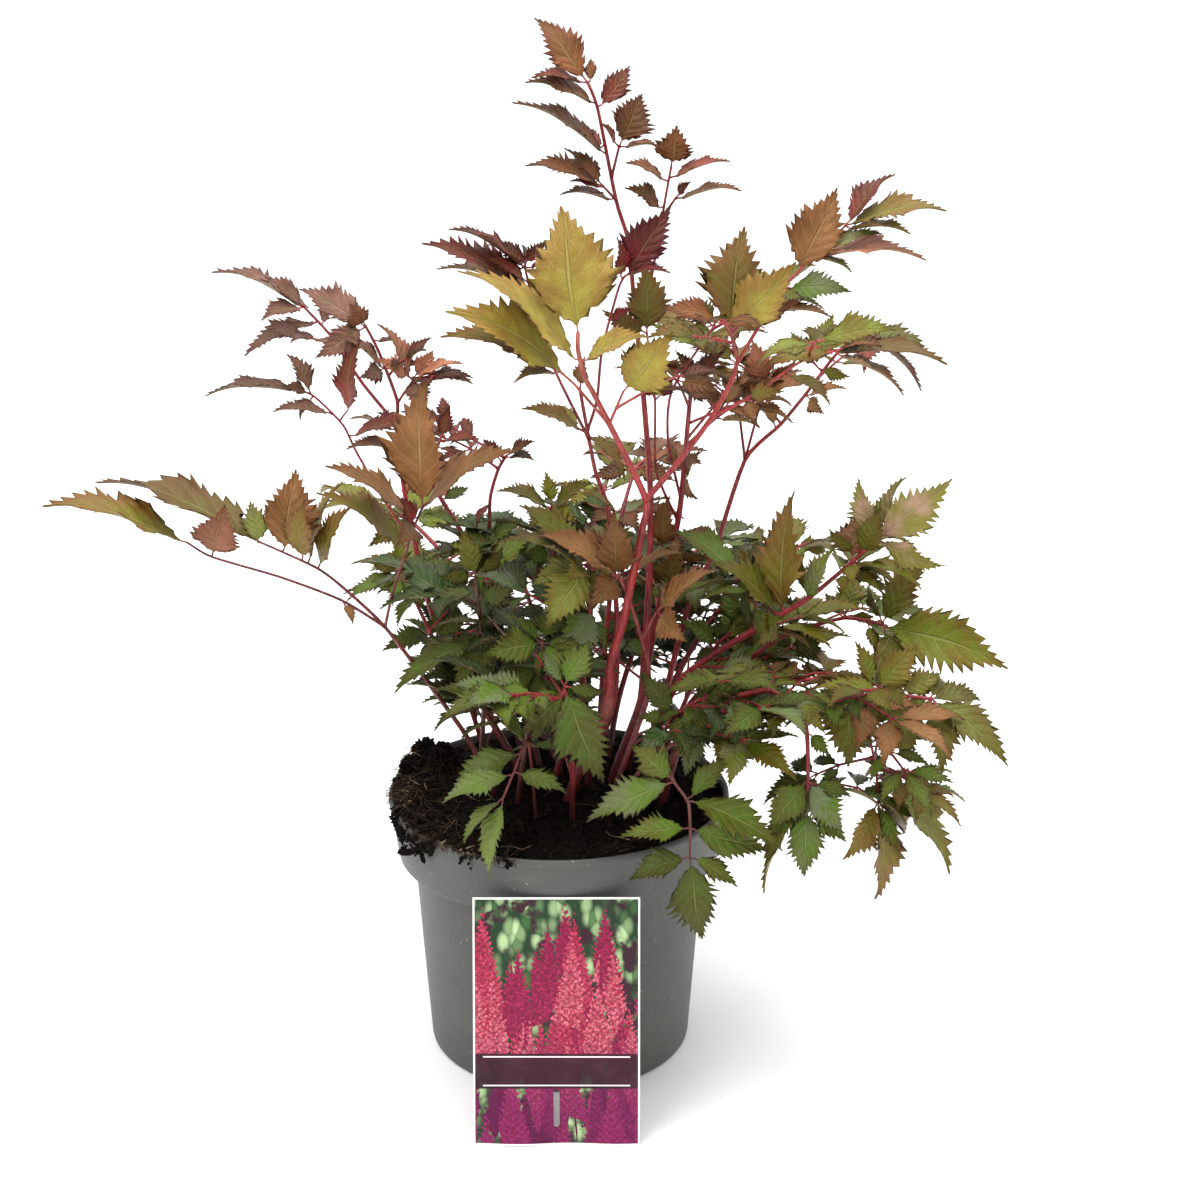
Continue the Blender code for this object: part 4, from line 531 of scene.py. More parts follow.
def blade(root, base, tip, width, face, start=0.0):
    """An open leaflet with a stalk strip, a folded midrib and forward-pointing teeth."""
    span = tip - base
    length = span.length
    midrib = span.normalized()
    face = squared(face, midrib)
    across = midrib.cross(face)
    middle = (base + tip) / 2 + face * BODY_ARCH * length

    def at(s, side, share):
        here = base * (1 - s) ** 2 + middle * 2 * s * (1 - s) + tip * s * s
        lie = ((middle - base) * (1 - s) + (tip - middle) * s).normalized()
        up = across.cross(lie)
        half = share * width / 2 * max(0.04, (s / 0.38) ** 0.7 * ((1 - s) / 0.62) ** 1.15)
        return here + across * side * half + up * half * BODY_FOLD

    flat = across * STRIP_WIDE / 2
    points, faces = [root - flat, root + flat], []
    if start:
        points = [at(start, -1, 0.8), at(start, 1, 0.8)]
    elif (base - root).length > STRIP_LEAST:
        points += [base - flat, base + flat]
        faces = [(0, 1, 3), (0, 3, 2)]
    left, right = len(points) - 2, len(points) - 1
    step = (1 - start) / (2 * BODY_TEETH + 1)
    middle_before = None
    for i in range(BODY_TEETH):
        s_point, s_notch = start + step * (2 * i + 1.35), start + step * (2 * i + 2)
        first = len(points)
        points += [at(s_notch, 0, 0.0), at(s_point, -1, 1.0), at(s_point, 1, 1.0),
                   at(s_notch, -1, 0.74), at(s_notch, 1, 0.74)]
        mid, left_point, right_point, left_notch, right_notch = range(first, first + 5)
        if middle_before is None:
            faces += [(left, right, mid), (right, right_point, mid), (left, mid, left_point)]
        else:
            faces += [(middle_before, right, right_point), (middle_before, right_point, mid),
                      (middle_before, left_point, left), (middle_before, mid, left_point)]
        faces += [(mid, right_point, right_notch), (mid, left_notch, left_point)]
        left, right, middle_before = left_notch, right_notch, mid
    points.append(tip)
    end = len(points) - 1
    faces += [(middle_before, right, end), (middle_before, end, left)]
    return points, faces


def body_of(shape, start=0.0):
    """The points and faces of a thickened test body round an open blade."""
    points, faces = blade(*shape, start)
    normals = [Vector() for _ in points]
    for a, b, c in faces:
        normal = (points[b] - points[a]).cross(points[c] - points[a])
        for k in (a, b, c):
            normals[k] += normal
    above = [p + n.normalized() * SLAB_HALF for p, n in zip(points, normals)]
    below = [p - n.normalized() * SLAB_HALF for p, n in zip(points, normals)]
    count = len(points)
    edges = dict.fromkeys(e for a, b, c in faces for e in ((a, b), (b, c), (c, a)))
    skin = faces + [(c + count, b + count, a + count) for a, b, c in faces]
    for a, b in edges:
        if (b, a) not in edges:
            skin += [(a, a + count, b + count), (a, b + count, b)]
    return above + below, skin


def box_of(points):
    """The box round some points, as its two corners."""
    return ([min(p[k] for p in points) for k in range(3)], [max(p[k] for p in points) for k in range(3)])


def boxes_meet(a, b):
    """Whether two boxes touch or overlap."""
    return all(a[0][k] <= b[1][k] and b[0][k] <= a[1][k] for k in range(3))


def tube(points, radii, sides=6):
    """A test body round a stalk, with room to spare."""
    verts, faces = [], []
    for i, p in enumerate(points):
        lie = (points[min(i + 1, len(points) - 1)] - points[max(i - 1, 0)]).normalized()
        side = lie.orthogonal().normalized()
        other = lie.cross(side)
        for k in range(sides):
            turn = 2 * math.pi * k / sides
            verts.append(p + (side * math.cos(turn) + other * math.sin(turn)) * (radii[i] + STALK_ROOM))
    for i in range(len(points) - 1):
        for k in range(sides):
            a, b = sides * i + k, sides * i + (k + 1) % sides
            faces += [(a, b, b + sides), (a, b + sides, a + sides)]
    return verts, faces


# Changes to a leaflet, the smallest first: millimetres that its tip slides, and degrees about its midrib
TRIES = sorted([(slide, turn) for slide in (0, 5, -5, 10, -10, 16, -16, 24, -24, 32, -32, 42)
                for turn in (0, 14, -14, 28, -28, 45, -45, 70, -70)],
               key=lambda t: abs(t[0]) / 9 + abs(t[1]) / 22)


def fitted(name, leaflet, stalks, placed):
    """The least changed shape of a leaflet that clears the stalks and what is placed, or None."""
    root, base, tip, width, face, sliding, _ = leaflet
    for size in SHRUNK:
        for slide, turn in TRIES:
            end = base + (tip + sliding * slide - base) * size
            midrib = (end - base).normalized()
            clear_base = base + midrib * max(0.0, LEAFLET_STALK - (base - root).length)
            shape = (root, clear_base, end, width * size, rotated(face, turn, midrib))
            whole = body_of(shape)
            bounds = box_of(whole[0])
            near_stalks = [s for s in stalks if boxes_meet(bounds, s[2])]
            near_placed = [p for p in placed if boxes_meet(bounds, p[3])]
            if not near_stalks and not near_placed:
                return shape
            outer = BVHTree.FromPolygons(*body_of(shape, FREE_FROM))
            tree = BVHTree.FromPolygons(*whole)
            if not (any((outer if s[0] == name else tree).overlap(s[1]) for s in near_stalks)
                    or any(outer.overlap(p[1]) if p[0] == name else tree.overlap(p[2]) for p in near_placed)):
                return shape
    return None


def cleared_leaflets(grown, solids):
    """For each leaf, the leaflets that clear everything else, bent as little as that takes.
    The large ones go first, as in the solids, and the small ones take the room that is left."""
    placed = [(None, None, BVHTree.FromPolygons(v, f), box_of(v)) for v, f in solids]
    stalks = []
    for name, paths, _ in grown:
        for points, radii in paths:
            verts, faces = tube(points, radii)
            stalks.append((name, BVHTree.FromPolygons(verts, faces), box_of(verts)))
    kept = {name: [] for name, _, _ in grown}
    for small, (name, _, leaflets) in [(s, g) for s in (False, True) for g in grown]:
        lengths = sorted(((w[2] - w[1]).length for w in leaflets), reverse=True)
        least = min(SMALLEST_LEAFLET, lengths[min(3, len(lengths)) - 1])
        for leaflet in leaflets:
            if ((leaflet[2] - leaflet[1]).length < least) != small:
                continue
            shape = fitted(name, leaflet, stalks, placed)
            if shape:
                whole = body_of(shape)
                outer = BVHTree.FromPolygons(*body_of(shape, FREE_FROM))
                placed.append((name, outer, BVHTree.FromPolygons(*whole), box_of(whole[0])))
                kept[name].append((*shape, leaflet[-1]))
    return kept


# Leaflet blades as (teeth along each side, columns across): the large ones and the small ones
LARGE_BLADE, SMALL_BLADE, LARGE_FROM = (13, 9), (9, 5), 28.0
# A blade is wider than its test body by this share, since its teeth stand out
WIDTH_TO_TEETH = 1.16
BLADE = dict(blade_thickness=0.0006, fold=0.25, arch=0.11, droop=0.08, wave=0.06)
# Half the width of a blade along its length
BLADE_OUTLINE = [(0.0, 0.0), (0.06, 0.22), (0.14, 0.51), (0.24, 0.81), (0.33, 0.98), (0.41, 1.0), (0.53, 0.85),
                 (0.65, 0.59), (0.76, 0.35), (0.86, 0.16), (0.94, 0.06), (1.0, 0.0)]

# Colours as seen, each with a second colour that the leaflet shades into, and how deep it is toothed
TONES = {
    "b": ((136, 78, 42), (104, 56, 28), 0.25), "r": ((134, 54, 42), (98, 38, 28), 0.28),
    "n": ((144, 98, 56), (120, 74, 38), 0.22), "o": ((118, 110, 36), (122, 84, 36), 0.26),
    "g": ((104, 118, 16), (112, 90, 20), 0.31), "y": ((160, 146, 58), (150, 116, 52), 0.16),
    "c": ((146, 34, 42), (98, 18, 26), 0.30), "m": ((106, 26, 22), (66, 20, 14), 0.30),
    "p": ((188, 120, 92), (156, 92, 66), 0.22), "s": ((116, 124, 44), (108, 94, 28), 0.29),
    "d": ((82, 108, 24), (82, 80, 18), 0.32), "k": ((50, 76, 20), (48, 54, 14), 0.32),
    "f": ((110, 132, 58), (100, 112, 44), 0.26), "u": ((180, 144, 120), (128, 124, 40), 0.30),
    "v": ((132, 92, 78), (106, 64, 54), 0.25)}
STALK_COLOURS = {"leaf_golden": (154, 34, 40), "leaf_low_left": (104, 30, 34), "leaf_over_rim": (122, 60, 50),
                 "leaf_front_left": (134, 66, 56), "leaf_mound_a": (96, 60, 44), "leaf_mound_b": (92, 64, 44),
                 "leaf_brown": (150, 66, 62)}
STALK_RED = (142, 26, 36)
# The golden leaf's stalk turns paler between these heights, in millimetres
PALER_FROM, PALER_TO, PALE_STALK = 330.0, 420.0, (190, 104, 84)
# This leaf and side stalk starts twice as thick as it ends
STOUT = ("leaf_golden", 3)
# Girth of the main stalks, as a share of the solids'
STALK_GIRTH = {"leaf_low_left": 0.74, "leaf_front_left": 0.66, "leaf_over_rim": 0.84}
STALK_GIRTH_ELSE = 1.14
# Swollen papery sheaths, as (point of the stalk that they stand at, colour)
SHEATHS = {"leaf_golden": (2.1, (132, 92, 66)), "leaf_spire": (2.4, (120, 76, 58))}

# How many leaflets stand at each side of a traced one, as a share, for leaves grown denser than one can trace
THRONGED = {"leaf_mid_right": 0.5, "leaf_right": 0.6, "leaf_low_right": 0.7, "leaf_hanging": 0.7,
            "leaf_over_rim": 0.0, "leaf_front_left": 0.0, "leaf_maroon": 0.6, "leaf_far_right": 0.5,
            "leaf_golden": 0.0, "leaf_spire": 0.0, "leaf_crimson": 0.2, "leaf_high_left": 0.2,
            "leaf_far_left": 0.2, "leaf_slim_left": 0.3, "leaf_low_left": 0.2, "leaf_brown": 0.3}
THRONGED_ELSE = 0.8
# The shortest traced leaflet that has others beside it
THRONGED_FROM = 19.0
# Leafy side sprays that fill the plant out: the outline as seen that they keep to, the least and the most
# length of their end leaflet, its least width as a share of that, tones outside and inside (the inside ones
# mostly darker, as painted shade deep in the mound), and how many each leaf bears
SPRAY_PLACES = [
    ([(392, 566), (440, 522), (520, 502), (600, 500), (690, 520), (770, 536), (780, 700),
      (770, 770), (700, 745), (600, 725), (500, 722), (430, 690)],
     (29.0, 43.0), 0.40, "dkgddsdkd", "kkdkdk",
     {"leaf_mid_right": 2, "leaf_right": 1, "leaf_low_right": 1, "leaf_hanging": 1, "leaf_over_rim": 1,
      "leaf_maroon": 2, "leaf_far_right": 1, "leaf_brown": 2, "leaf_mound": 6, "leaf_away": 6}),
    ([(760, 530), (790, 536), (880, 545), (940, 600), (975, 690), (940, 780), (850, 800), (770, 800), (750, 745)],
     (29.0, 44.0), 0.38, "gogsogdsn", "gdkdkg",
     {"leaf_mid_right": 4, "leaf_right": 6, "leaf_low_right": 7, "leaf_hanging": 5, "leaf_far_right": 1}),
    ([(690, 300), (704, 240), (800, 250), (880, 290), (905, 350), (850, 385), (770, 396), (690, 390), (660, 372)],
     (26.0, 42.0), 0.33, "brosnob", "mrmbs",
     {"leaf_golden": 5, "leaf_maroon": 5, "leaf_far_right": 5}),
    ([(300, 300), (370, 320), (470, 372), (440, 430), (380, 440), (300, 400)],
     (20.0, 31.0), 0.30, "rvrmv", "rvrmv",
     {"leaf_high_left": 2, "leaf_far_left": 1, "leaf_slim_left": 2, "leaf_brown": 1}),
    ([(852, 690), (900, 700), (955, 745), (945, 850), (900, 890), (862, 860)],
     (26.0, 38.0), 0.34, "osbsdo", "osdsd", {"leaf_low_right": 5, "leaf_hanging": 1})]
# Sprays within the radius, from the pot's axis, end above the first height, and those outside above the second
SPRAY_LOW = (105.0, 172.0, 95.0)
# The red stalks show inside this outline, as seen, so a spray there stands farther back than this y
STALKS_SHOW = ([(588, 480), (668, 480), (664, 700), (600, 712)], 26.0)


def linear(colour):
    """A colour as seen, 0 to 255, as the light values that a shader takes."""
    return tuple((v / 255) / 12.92 if v <= 10 else ((v / 255 + 0.055) / 1.055) ** 2.4 for v in colour)


class Sums:
    """Writes sums as nodes: sockets and plain numbers go in, sockets come out."""

    def __init__(self, tree):
        self.tree = tree

    def node(self, kind, *inputs, out=0, **settings):
        made = self.tree.nodes.new(kind)
        for key, value in settings.items():
            setattr(made, key, value)
        for socket, value in zip([s for s in made.inputs if s.enabled], inputs):
            self.put(socket, value)
        return [s for s in made.outputs if s.enabled][out]

    def put(self, socket, value):
        if isinstance(value, bpy.types.NodeSocket):
            self.tree.links.new(value, socket)
        elif value is not None:
            socket.default_value = value

    def m(self, operation, a, b=None):
        """A sum of numbers."""
        return self.node("ShaderNodeMath", a, b, operation=operation)

    def add(self, a, b):
        return self.m("ADD", a, b)

    def sub(self, a, b):
        return self.m("SUBTRACT", a, b)

    def mul(self, a, *more):
        for b in more:
            a = self.m("MULTIPLY", a, b)
        return a

    def v(self, operation, a, b=None):
        """A sum of vectors."""
        made = self.tree.nodes.new("ShaderNodeVectorMath")
        made.operation = operation
        self.put(made.inputs[0], a)
        if b is not None:
            self.put(made.inputs[1], b)
        return made.outputs[1 if operation == "LENGTH" else 0]

    def scaled(self, a, size):
        made = self.tree.nodes.new("ShaderNodeVectorMath")
        made.operation = "SCALE"
        self.put(made.inputs[0], a)
        self.put(made.inputs["Scale"], size)
        return made.outputs[0]

    def abs(self, a):
        return self.m("ABSOLUTE", a)

    def sine(self, a):
        return self.m("SINE", a)

    def parts(self, vector):
        """The x, y and z of a vector."""
        return self.node("ShaderNodeSeparateXYZ", vector).node.outputs

    def place(self):
        """The place on the object, in metres."""
        return self.node("ShaderNodeTexCoord", out=3)

    def between(self, a, b, share):
        """The place that is a share of the way from one to another."""
        return self.v("ADD", a, self.scaled(self.v("SUBTRACT", b, a), share))

    def ramp(self, value, low, high, to_low=0.0, to_high=1.0, smooth=True):
        """A value carried from one range over to another."""
        made = self.tree.nodes.new("ShaderNodeMapRange")
        made.interpolation_type = "SMOOTHSTEP" if smooth else "LINEAR"
        for socket, number in zip(made.inputs, (value, low, high, to_low, to_high)):
            self.put(socket, number)
        return made.outputs[0]

    def near(self, value, centre, inner, outer):
        """1 where a value is near a centre, and 0 beyond."""
        return self.ramp(self.abs(self.sub(value, centre)), inner, outer, 1.0, 0.0)

    def mix(self, share, a, b, blend="MIX"):
        made = self.tree.nodes.new("ShaderNodeMix")
        made.data_type = "RGBA"
        made.blend_type = blend
        made.clamp_factor = True
        self.put(made.inputs[0], share)
        for socket, value in ((made.inputs[6], a), (made.inputs[7], b)):
            self.put(socket, (*value, 1.0) if isinstance(value, tuple) and len(value) == 3 else value)
        return made.outputs[2]

    def times(self, colour, other):
        return self.mix(1.0, colour, other, "MULTIPLY")

    def cells(self, place, scale, feature="F1"):
        made = self.tree.nodes.new("ShaderNodeTexVoronoi")
        made.feature = feature
        made.inputs["Scale"].default_value = scale
        self.put(made.inputs["Vector"], place)
        return made

    def noise(self, place, scale, detail):
        made = self.tree.nodes.new("ShaderNodeTexNoise")
        self.put(made.inputs["Vector"], place)
        for key, value in (("Scale", scale), ("Detail", detail), ("Roughness", 0.55)):
            made.inputs[key].default_value = value
        return made.outputs["Fac"]


def homed(name, data):
    """A new object of the scene."""
    made = bpy.data.objects.new(name, data)
    HOME.objects.link(made)
    return made


def painted(made, look, smooth):
    """Gives an object one finish, and sets how its faces are shaded."""
    made.data.materials.clear()
    made.data.materials.append(look)
    for polygon in made.data.polygons:
        polygon.use_smooth = smooth
    return made


def group_of(name, kind, takes, gives):
    """A node group with named sockets, as (its sums, its input sockets, its output sockets)."""
    group = bpy.data.node_groups.new(name, kind + "NodeTree")
    for way, sockets in (("INPUT", takes), ("OUTPUT", gives)):
        for label, socket_kind in sockets.items():
            group.interface.new_socket(label, in_out=way, socket_type="NodeSocket" + socket_kind)
    return Sums(group), group.nodes.new("NodeGroupInput").outputs, group.nodes.new("NodeGroupOutput").inputs


def stored(s, shape, name, value, domain="POINT"):
    return s.node("GeometryNodeStoreNamedAttribute", shape, None, name, value, data_type="FLOAT", domain=domain)


def carried(s, name, kind="FLOAT"):
    """A named value that the seed points and the blades carry."""
    made = s.tree.nodes.new("GeometryNodeInputNamedAttribute")
    made.data_type = kind
    made.inputs[0].default_value = name
    return [o for o in made.outputs if o.enabled][0]


def bare_blades(s, seeds, rows, columns):
    """A flat sheet on each seed, with its place along and across the blade stored on it."""
    grid = s.tree.nodes.new("GeometryNodeMeshGrid")
    grid.inputs["Vertices X"].default_value = columns
    grid.inputs["Vertices Y"].default_value = rows
    where = s.parts(s.node("GeometryNodeInputPosition"))
    flat = stored(s, grid.outputs["Mesh"], "along", s.add(where[1], 0.5))
    flat = stored(s, flat, "across", s.mul(where[0], 2.0))
    return s.node("GeometryNodeRealizeInstances", s.node("GeometryNodeInstanceOnPoints", seeds, None, flat))


def width_along(s, u):
    """Half the width of a blade at its place along it."""
    curve = s.tree.nodes.new("ShaderNodeFloatCurve")
    line = curve.mapping.curves[0]
    while len(line.points) < len(BLADE_OUTLINE):
        line.points.new(0.5, 0.5)
    for knot, place in zip(line.points, BLADE_OUTLINE):
        knot.location = place
    curve.mapping.update()
    s.put(curve.inputs["Value"], u)
    return curve.outputs[0]


def leaflet_tree(look, teeth, columns):
    """Nodes that grow one toothed blade on each seed point, from the base, tip, face and width it carries."""
    rows = 2 * teeth + 3
    s, given, taken = group_of("leaflet_blades", "Geometry", {
        "Seeds": "Geometry", "Blade thickness": "Float", "Fold": "Float", "Arch": "Float", "Droop": "Float",
        "Wave": "Float"}, {"Blades": "Geometry"})
    thick, fold, arch, droop, wave = (given[n] for n in ("Blade thickness", "Fold", "Arch", "Droop", "Wave"))
    blades = bare_blades(s, given["Seeds"], rows, columns)
    u, v = carried(s, "along"), carried(s, "across")
    base, tip, facing = (carried(s, n, "FLOAT_VECTOR") for n in ("base", "tip", "face"))
    width, vary, cut = carried(s, "width"), carried(s, "vary"), carried(s, "cut")
    row = s.m("ROUND", s.mul(u, rows - 1.0))
    tooth = s.m("MODULO", row, 2.0)
    side = s.abs(v)
    edge = s.m("POWER", side, 2.5)

    def chance(seed):
        """A number from 0 to 1 for each tooth on each side of each leaflet."""
        mixed = s.add(s.add(s.mul(s.m("FLOOR", s.mul(row, 0.5)), 12.9898), s.mul(s.m("SIGN", v), 4.14)),
                      s.add(s.mul(vary, 78.233), seed))
        return s.m("FRACT", s.mul(s.sine(mixed), 4375.85))

    span = s.v("SUBTRACT", tip, base)
    long = s.v("LENGTH", span)
    across = s.v("NORMALIZE", s.v("CROSS_PRODUCT", span, facing))
    up = s.v("NORMALIZE", s.v("CROSS_PRODUCT", across, span))
    middle = s.v("ADD", s.scaled(s.v("ADD", base, tip), 0.5), s.scaled(up, s.mul(arch, long)))
    # Tooth points lean towards the tip
    lean = s.mul(s.add(1.1, s.mul(chance(1.7), 1.0)), 1.0 / (rows - 1.0))
    u_row = s.m("MINIMUM", s.add(u, s.mul(tooth, edge, s.ramp(u, 0.90, 1.0, 1.0, 0.0), lean)), 1.0)
    first, second = s.between(base, middle, u_row), s.between(middle, tip, u_row)
    spine = s.between(first, second, u_row)
    lift = s.v("CROSS_PRODUCT", across, s.v("NORMALIZE", s.v("SUBTRACT", second, first)))
    # Teeth of uneven size, none on the wedge at the base
    toothed = s.ramp(u, 0.08, 0.22)
    notch = s.sub(1.0, s.mul(cut, s.sub(1.0, tooth), edge, toothed, s.add(0.55, s.mul(chance(5.1), 0.8))))
    longer = s.add(1.0, s.mul(s.sub(chance(9.3), 0.4), 0.28, tooth, edge))
    lop = s.add(1.0, s.mul(v, 0.10, s.sine(s.mul(vary, 17.0))))
    broad = width_along(s, u)
    sideways = s.mul(v, s.mul(broad, width, 0.5, notch, longer, lop))
    # Folded up from the midrib, with a wave that grows to the edge, and a tip that hangs
    course = s.add(s.mul(u_row, 15.0), s.add(s.mul(vary, 31.0), s.mul(v, 1.3)))
    ripple = s.mul(s.sine(course), edge, wave, width, broad)
    flick = s.mul(s.sub(chance(2.9), 0.5), tooth, edge, width, broad, 0.08)
    twist = s.mul(s.sine(s.add(s.mul(vary, 9.0), s.mul(u_row, 2.6))), 0.30, sideways, u_row)
    hang = s.mul(s.m("POWER", s.ramp(u, 0.55, 1.0, smooth=False), 2.0), droop, long, -1.0)
    bend = s.mul(s.sine(s.add(s.mul(u_row, 3.0), s.mul(vary, 23.0))), long, 0.022, s.sine(s.mul(u_row, math.pi)))
    high = s.add(s.add(s.mul(s.abs(sideways), fold), ripple), s.add(s.add(twist, flick), hang))
    place = s.v("ADD", spine, s.v("ADD", s.scaled(across, s.add(sideways, bend)), s.scaled(lift, high)))

    # The underside, with the midrib standing out of it, meets the top at the rim
    rim = s.m("MULTIPLY", s.sub(1.0, s.m("POWER", side, 4.0)), s.ramp(s.m("MINIMUM", u, s.sub(1.0, u)), 0.0, 0.03))
    rib = s.mul(s.ramp(side, 0.0, 0.3, 1.0, 0.0), s.sub(1.0, u), 1.3)
    below = s.v("SUBTRACT", place, s.scaled(lift, s.mul(thick, rim, s.add(1.0, rib))))
    top = s.node("GeometryNodeSetPosition", blades, None, place)
    under = s.node("GeometryNodeFlipFaces", s.node("GeometryNodeSetPosition", blades, None, below))
    both = s.tree.nodes.new("GeometryNodeJoinGeometry")
    for sheet, is_under in ((under, 1.0), (top, 0.0)):
        s.tree.links.new(stored(s, sheet, "underside", is_under, "FACE"), both.inputs[0])
    closed = s.node("GeometryNodeMergeByDistance", both.outputs[0], None, 0.00001)
    smooth = s.node("GeometryNodeSetShadeSmooth", closed, None, True)
    finished = s.node("GeometryNodeSetMaterial", smooth, None, look)
    s.put(taken[0], s.node("GeometryNodeRealizeInstances", finished))
    return s.tree


def grown_mesh(made, name):
    """The object's evaluated shape as a plain mesh object."""
    graph = bpy.context.evaluated_depsgraph_get()
    mesh = bpy.data.meshes.new_from_object(made.evaluated_get(graph), preserve_all_data_layers=True,
                                           depsgraph=graph)
    bpy.data.objects.remove(made)
    mesh.name = name
    return homed(name, mesh)


def dressed(made, tree, **values):
    """Puts a node tree on an object, its inputs set by their identifiers."""
    grow = made.modifiers.new("grow", "NODES")
    grow.node_group = tree
    for item in tree.interface.items_tree:
        key = item.name.replace(" ", "_").lower()
        if key in values:
            grow[item.identifier] = values[key]
    return made


def leaflet_seeds(name, leaflets, draw):
    """A point for each leaflet, with the values that its blade grows from."""
    mesh = bpy.data.meshes.new(name + "_seeds")
    mesh.from_pydata([tuple(v[1] * MM) for v in leaflets], [], [])
    for key, values in (("base", [v[1] * MM for v in leaflets]), ("tip", [v[2] * MM for v in leaflets]),
                        ("face", [v[4] for v in leaflets]), ("width", [v[3] * MM * WIDTH_TO_TEETH for v in leaflets]),
                        ("vary", [draw(i) for i in range(len(leaflets))]), ("cut", [TONES[v[5]][2] for v in leaflets]),
                        ("near_colour", [linear(TONES[v[5]][0]) for v in leaflets]),
                        ("far_colour", [linear(TONES[v[5]][1]) for v in leaflets])):
        field, kind = ("value", "FLOAT") if isinstance(values[0], float) else ("vector", "FLOAT_VECTOR")
        for item, value in zip(mesh.attributes.new(key, kind, "POINT").data, values):
            setattr(item, field, value)
    return homed(name + "_seeds", mesh)


def smooth_line(points, steps=5):
    """A smooth line through the points, as places with their share of the way between points."""
    found = []
    for i in range(len(points) - 1):
        p0, p1, p2 = points[max(i - 1, 0)], points[i], points[i + 1]
        p3 = points[min(i + 2, len(points) - 1)]
        for k in range(steps):
            t = k / steps
            go, come = (p2 - p0) * 0.34, (p3 - p1) * 0.34
            found.append((p1 * (2 * t ** 3 - 3 * t * t + 1) + go * (t ** 3 - 2 * t * t + t)
                          + p2 * (3 * t * t - 2 * t ** 3) + come * (t ** 3 - t * t), i + t))
    found.append((points[-1], len(points) - 1.0))
    return found


def tubes(name, lines, radius, roundness, look, smooth):
    """Round tubes along lines of (place, share of the radius) pairs, as one closed mesh."""
    curve = bpy.data.curves.new(name, "CURVE")
    curve.dimensions = "3D"
    curve.bevel_depth = radius * MM
    curve.bevel_resolution = roundness
    curve.use_fill_caps = True
    for line in lines:
        spline = curve.splines.new("POLY")
        spline.points.add(len(line) - 1)
        for knot, (place, size) in zip(spline.points, line):
            knot.co = (*(place * MM), 1.0)
            knot.radius = size
    made = grown_mesh(homed(name, curve), name)
    closed_up(made)
    return painted(made, look, smooth)


def stalk_line(name, order, points, radii):
    """A stalk as a smooth line, the first of a leaf with its girth and sheath, the others with a thick root."""
    line = []
    for place, at in smooth_line(points):
        i = min(int(at), len(points) - 2)
        size = radii[i] + (radii[i + 1] - radii[i]) * (at - i)
        if (name, order) == STOUT:
            size *= 2.0 - at / (len(points) - 1)
        if order == 0:
            size *= STALK_GIRTH.get(name, STALK_GIRTH_ELSE)
            if name in SHEATHS:
                size *= 1 + 0.30 * math.exp(-((at - SHEATHS[name][0]) / 0.3) ** 2)
        line.append((place, size))
    if order:
        line[0] = (line[0][0], line[0][1] * 1.3)
    return line


def stalk_piece(name, paths, leaflets, look, colour):
    """Stalk, side stalks and leaflet stalks as smooth round tubes with swollen joints."""
    lines = [stalk_line(name, order, *path) for order, path in enumerate(paths)]
    for root, base, tip, _, face, _ in leaflets:
        span = base - root
        bend = root + span * 0.5 + face * max(span.length, 1.0) * 0.06
        end = base + (tip - base).normalized() * min(6.0, 0.18 * (tip - base).length)
        lines.append([(root, 0.66), (bend, 0.50), (base, 0.46), (end, 0.30)])
    made = tubes(name + "_stalks", lines, 1.0, 2, look, True)
    tint = made.data.attributes.new("near_colour", "FLOAT_VECTOR", "POINT")
    sheath_at, sheath_colour = None, colour
    if name in SHEATHS:
        points, (at, sheath_colour) = paths[0][0], SHEATHS[name]
        sheath_at = points[int(at)].lerp(points[int(at) + 1], at % 1.0)
    for item, vertex in zip(tint.data, made.data.vertices):
        place, shown = vertex.co / MM, Vector(colour)
        if name == "leaf_golden":
            up = min(1.0, max(0.0, (place.z - PALER_FROM) / (PALER_TO - PALER_FROM)))
            shown = shown.lerp(Vector(PALE_STALK), up if place.x < 60 else up * 0.35)
        if sheath_at:
            near = math.exp(-((place - sheath_at).length / 7.0) ** 2)
            shown = shown.lerp(Vector(sheath_colour), 0.8 * near)
        item.vector = linear(shown)
    return made


def closed_up(made, turn_out=False):
    """Merges a mesh's doubled points and, where asked, turns its faces outward."""
    work = bmesh.new()
    work.from_mesh(made.data)
    bmesh.ops.remove_doubles(work, verts=work.verts, dist=1e-7)
    if turn_out:
        bmesh.ops.recalc_face_normals(work, faces=work.faces)
    work.to_mesh(made.data)
    work.free()


def joined(name, pieces):
    """Makes one named piece out of several."""
    with bpy.context.temp_override(active_object=pieces[0], object=pieces[0], selected_objects=pieces,
                                   selected_editable_objects=pieces):
        bpy.ops.object.join()
    pieces[0].name = pieces[0].data.name = name
    return pieces[0]


def look_of(name, rough, colour=(0.5, 0.5, 0.5), specular=0.5):
    """A new finish, as (material, its shader, its sums)."""
    look = bpy.data.materials.new(name)
    look.use_nodes = True
    skin = look.node_tree.nodes["Principled BSDF"]
    skin.inputs["Base Color"].default_value = (*colour, 1.0)
    skin.inputs["Roughness"].default_value = rough
    skin.inputs["Specular IOR Level"].default_value = specular
    return look, skin, Sums(look.node_tree)


def surface_group():
    """Fine unevenness that every plant and soil finish shares: a height and a slow patchy mask."""
    s, given, taken = group_of("grown_surface", "Shader", {"Grain size": "Float", "Patch size": "Float"},
                               {"Height": "Float", "Patches": "Float"})
    place = s.place()
    s.put(taken["Height"], s.noise(s.scaled(place, given["Grain size"]), 1.0, 4.0))
    s.put(taken["Patches"], s.noise(s.scaled(place, given["Patch size"]), 1.0, 2.0))
    return s.tree


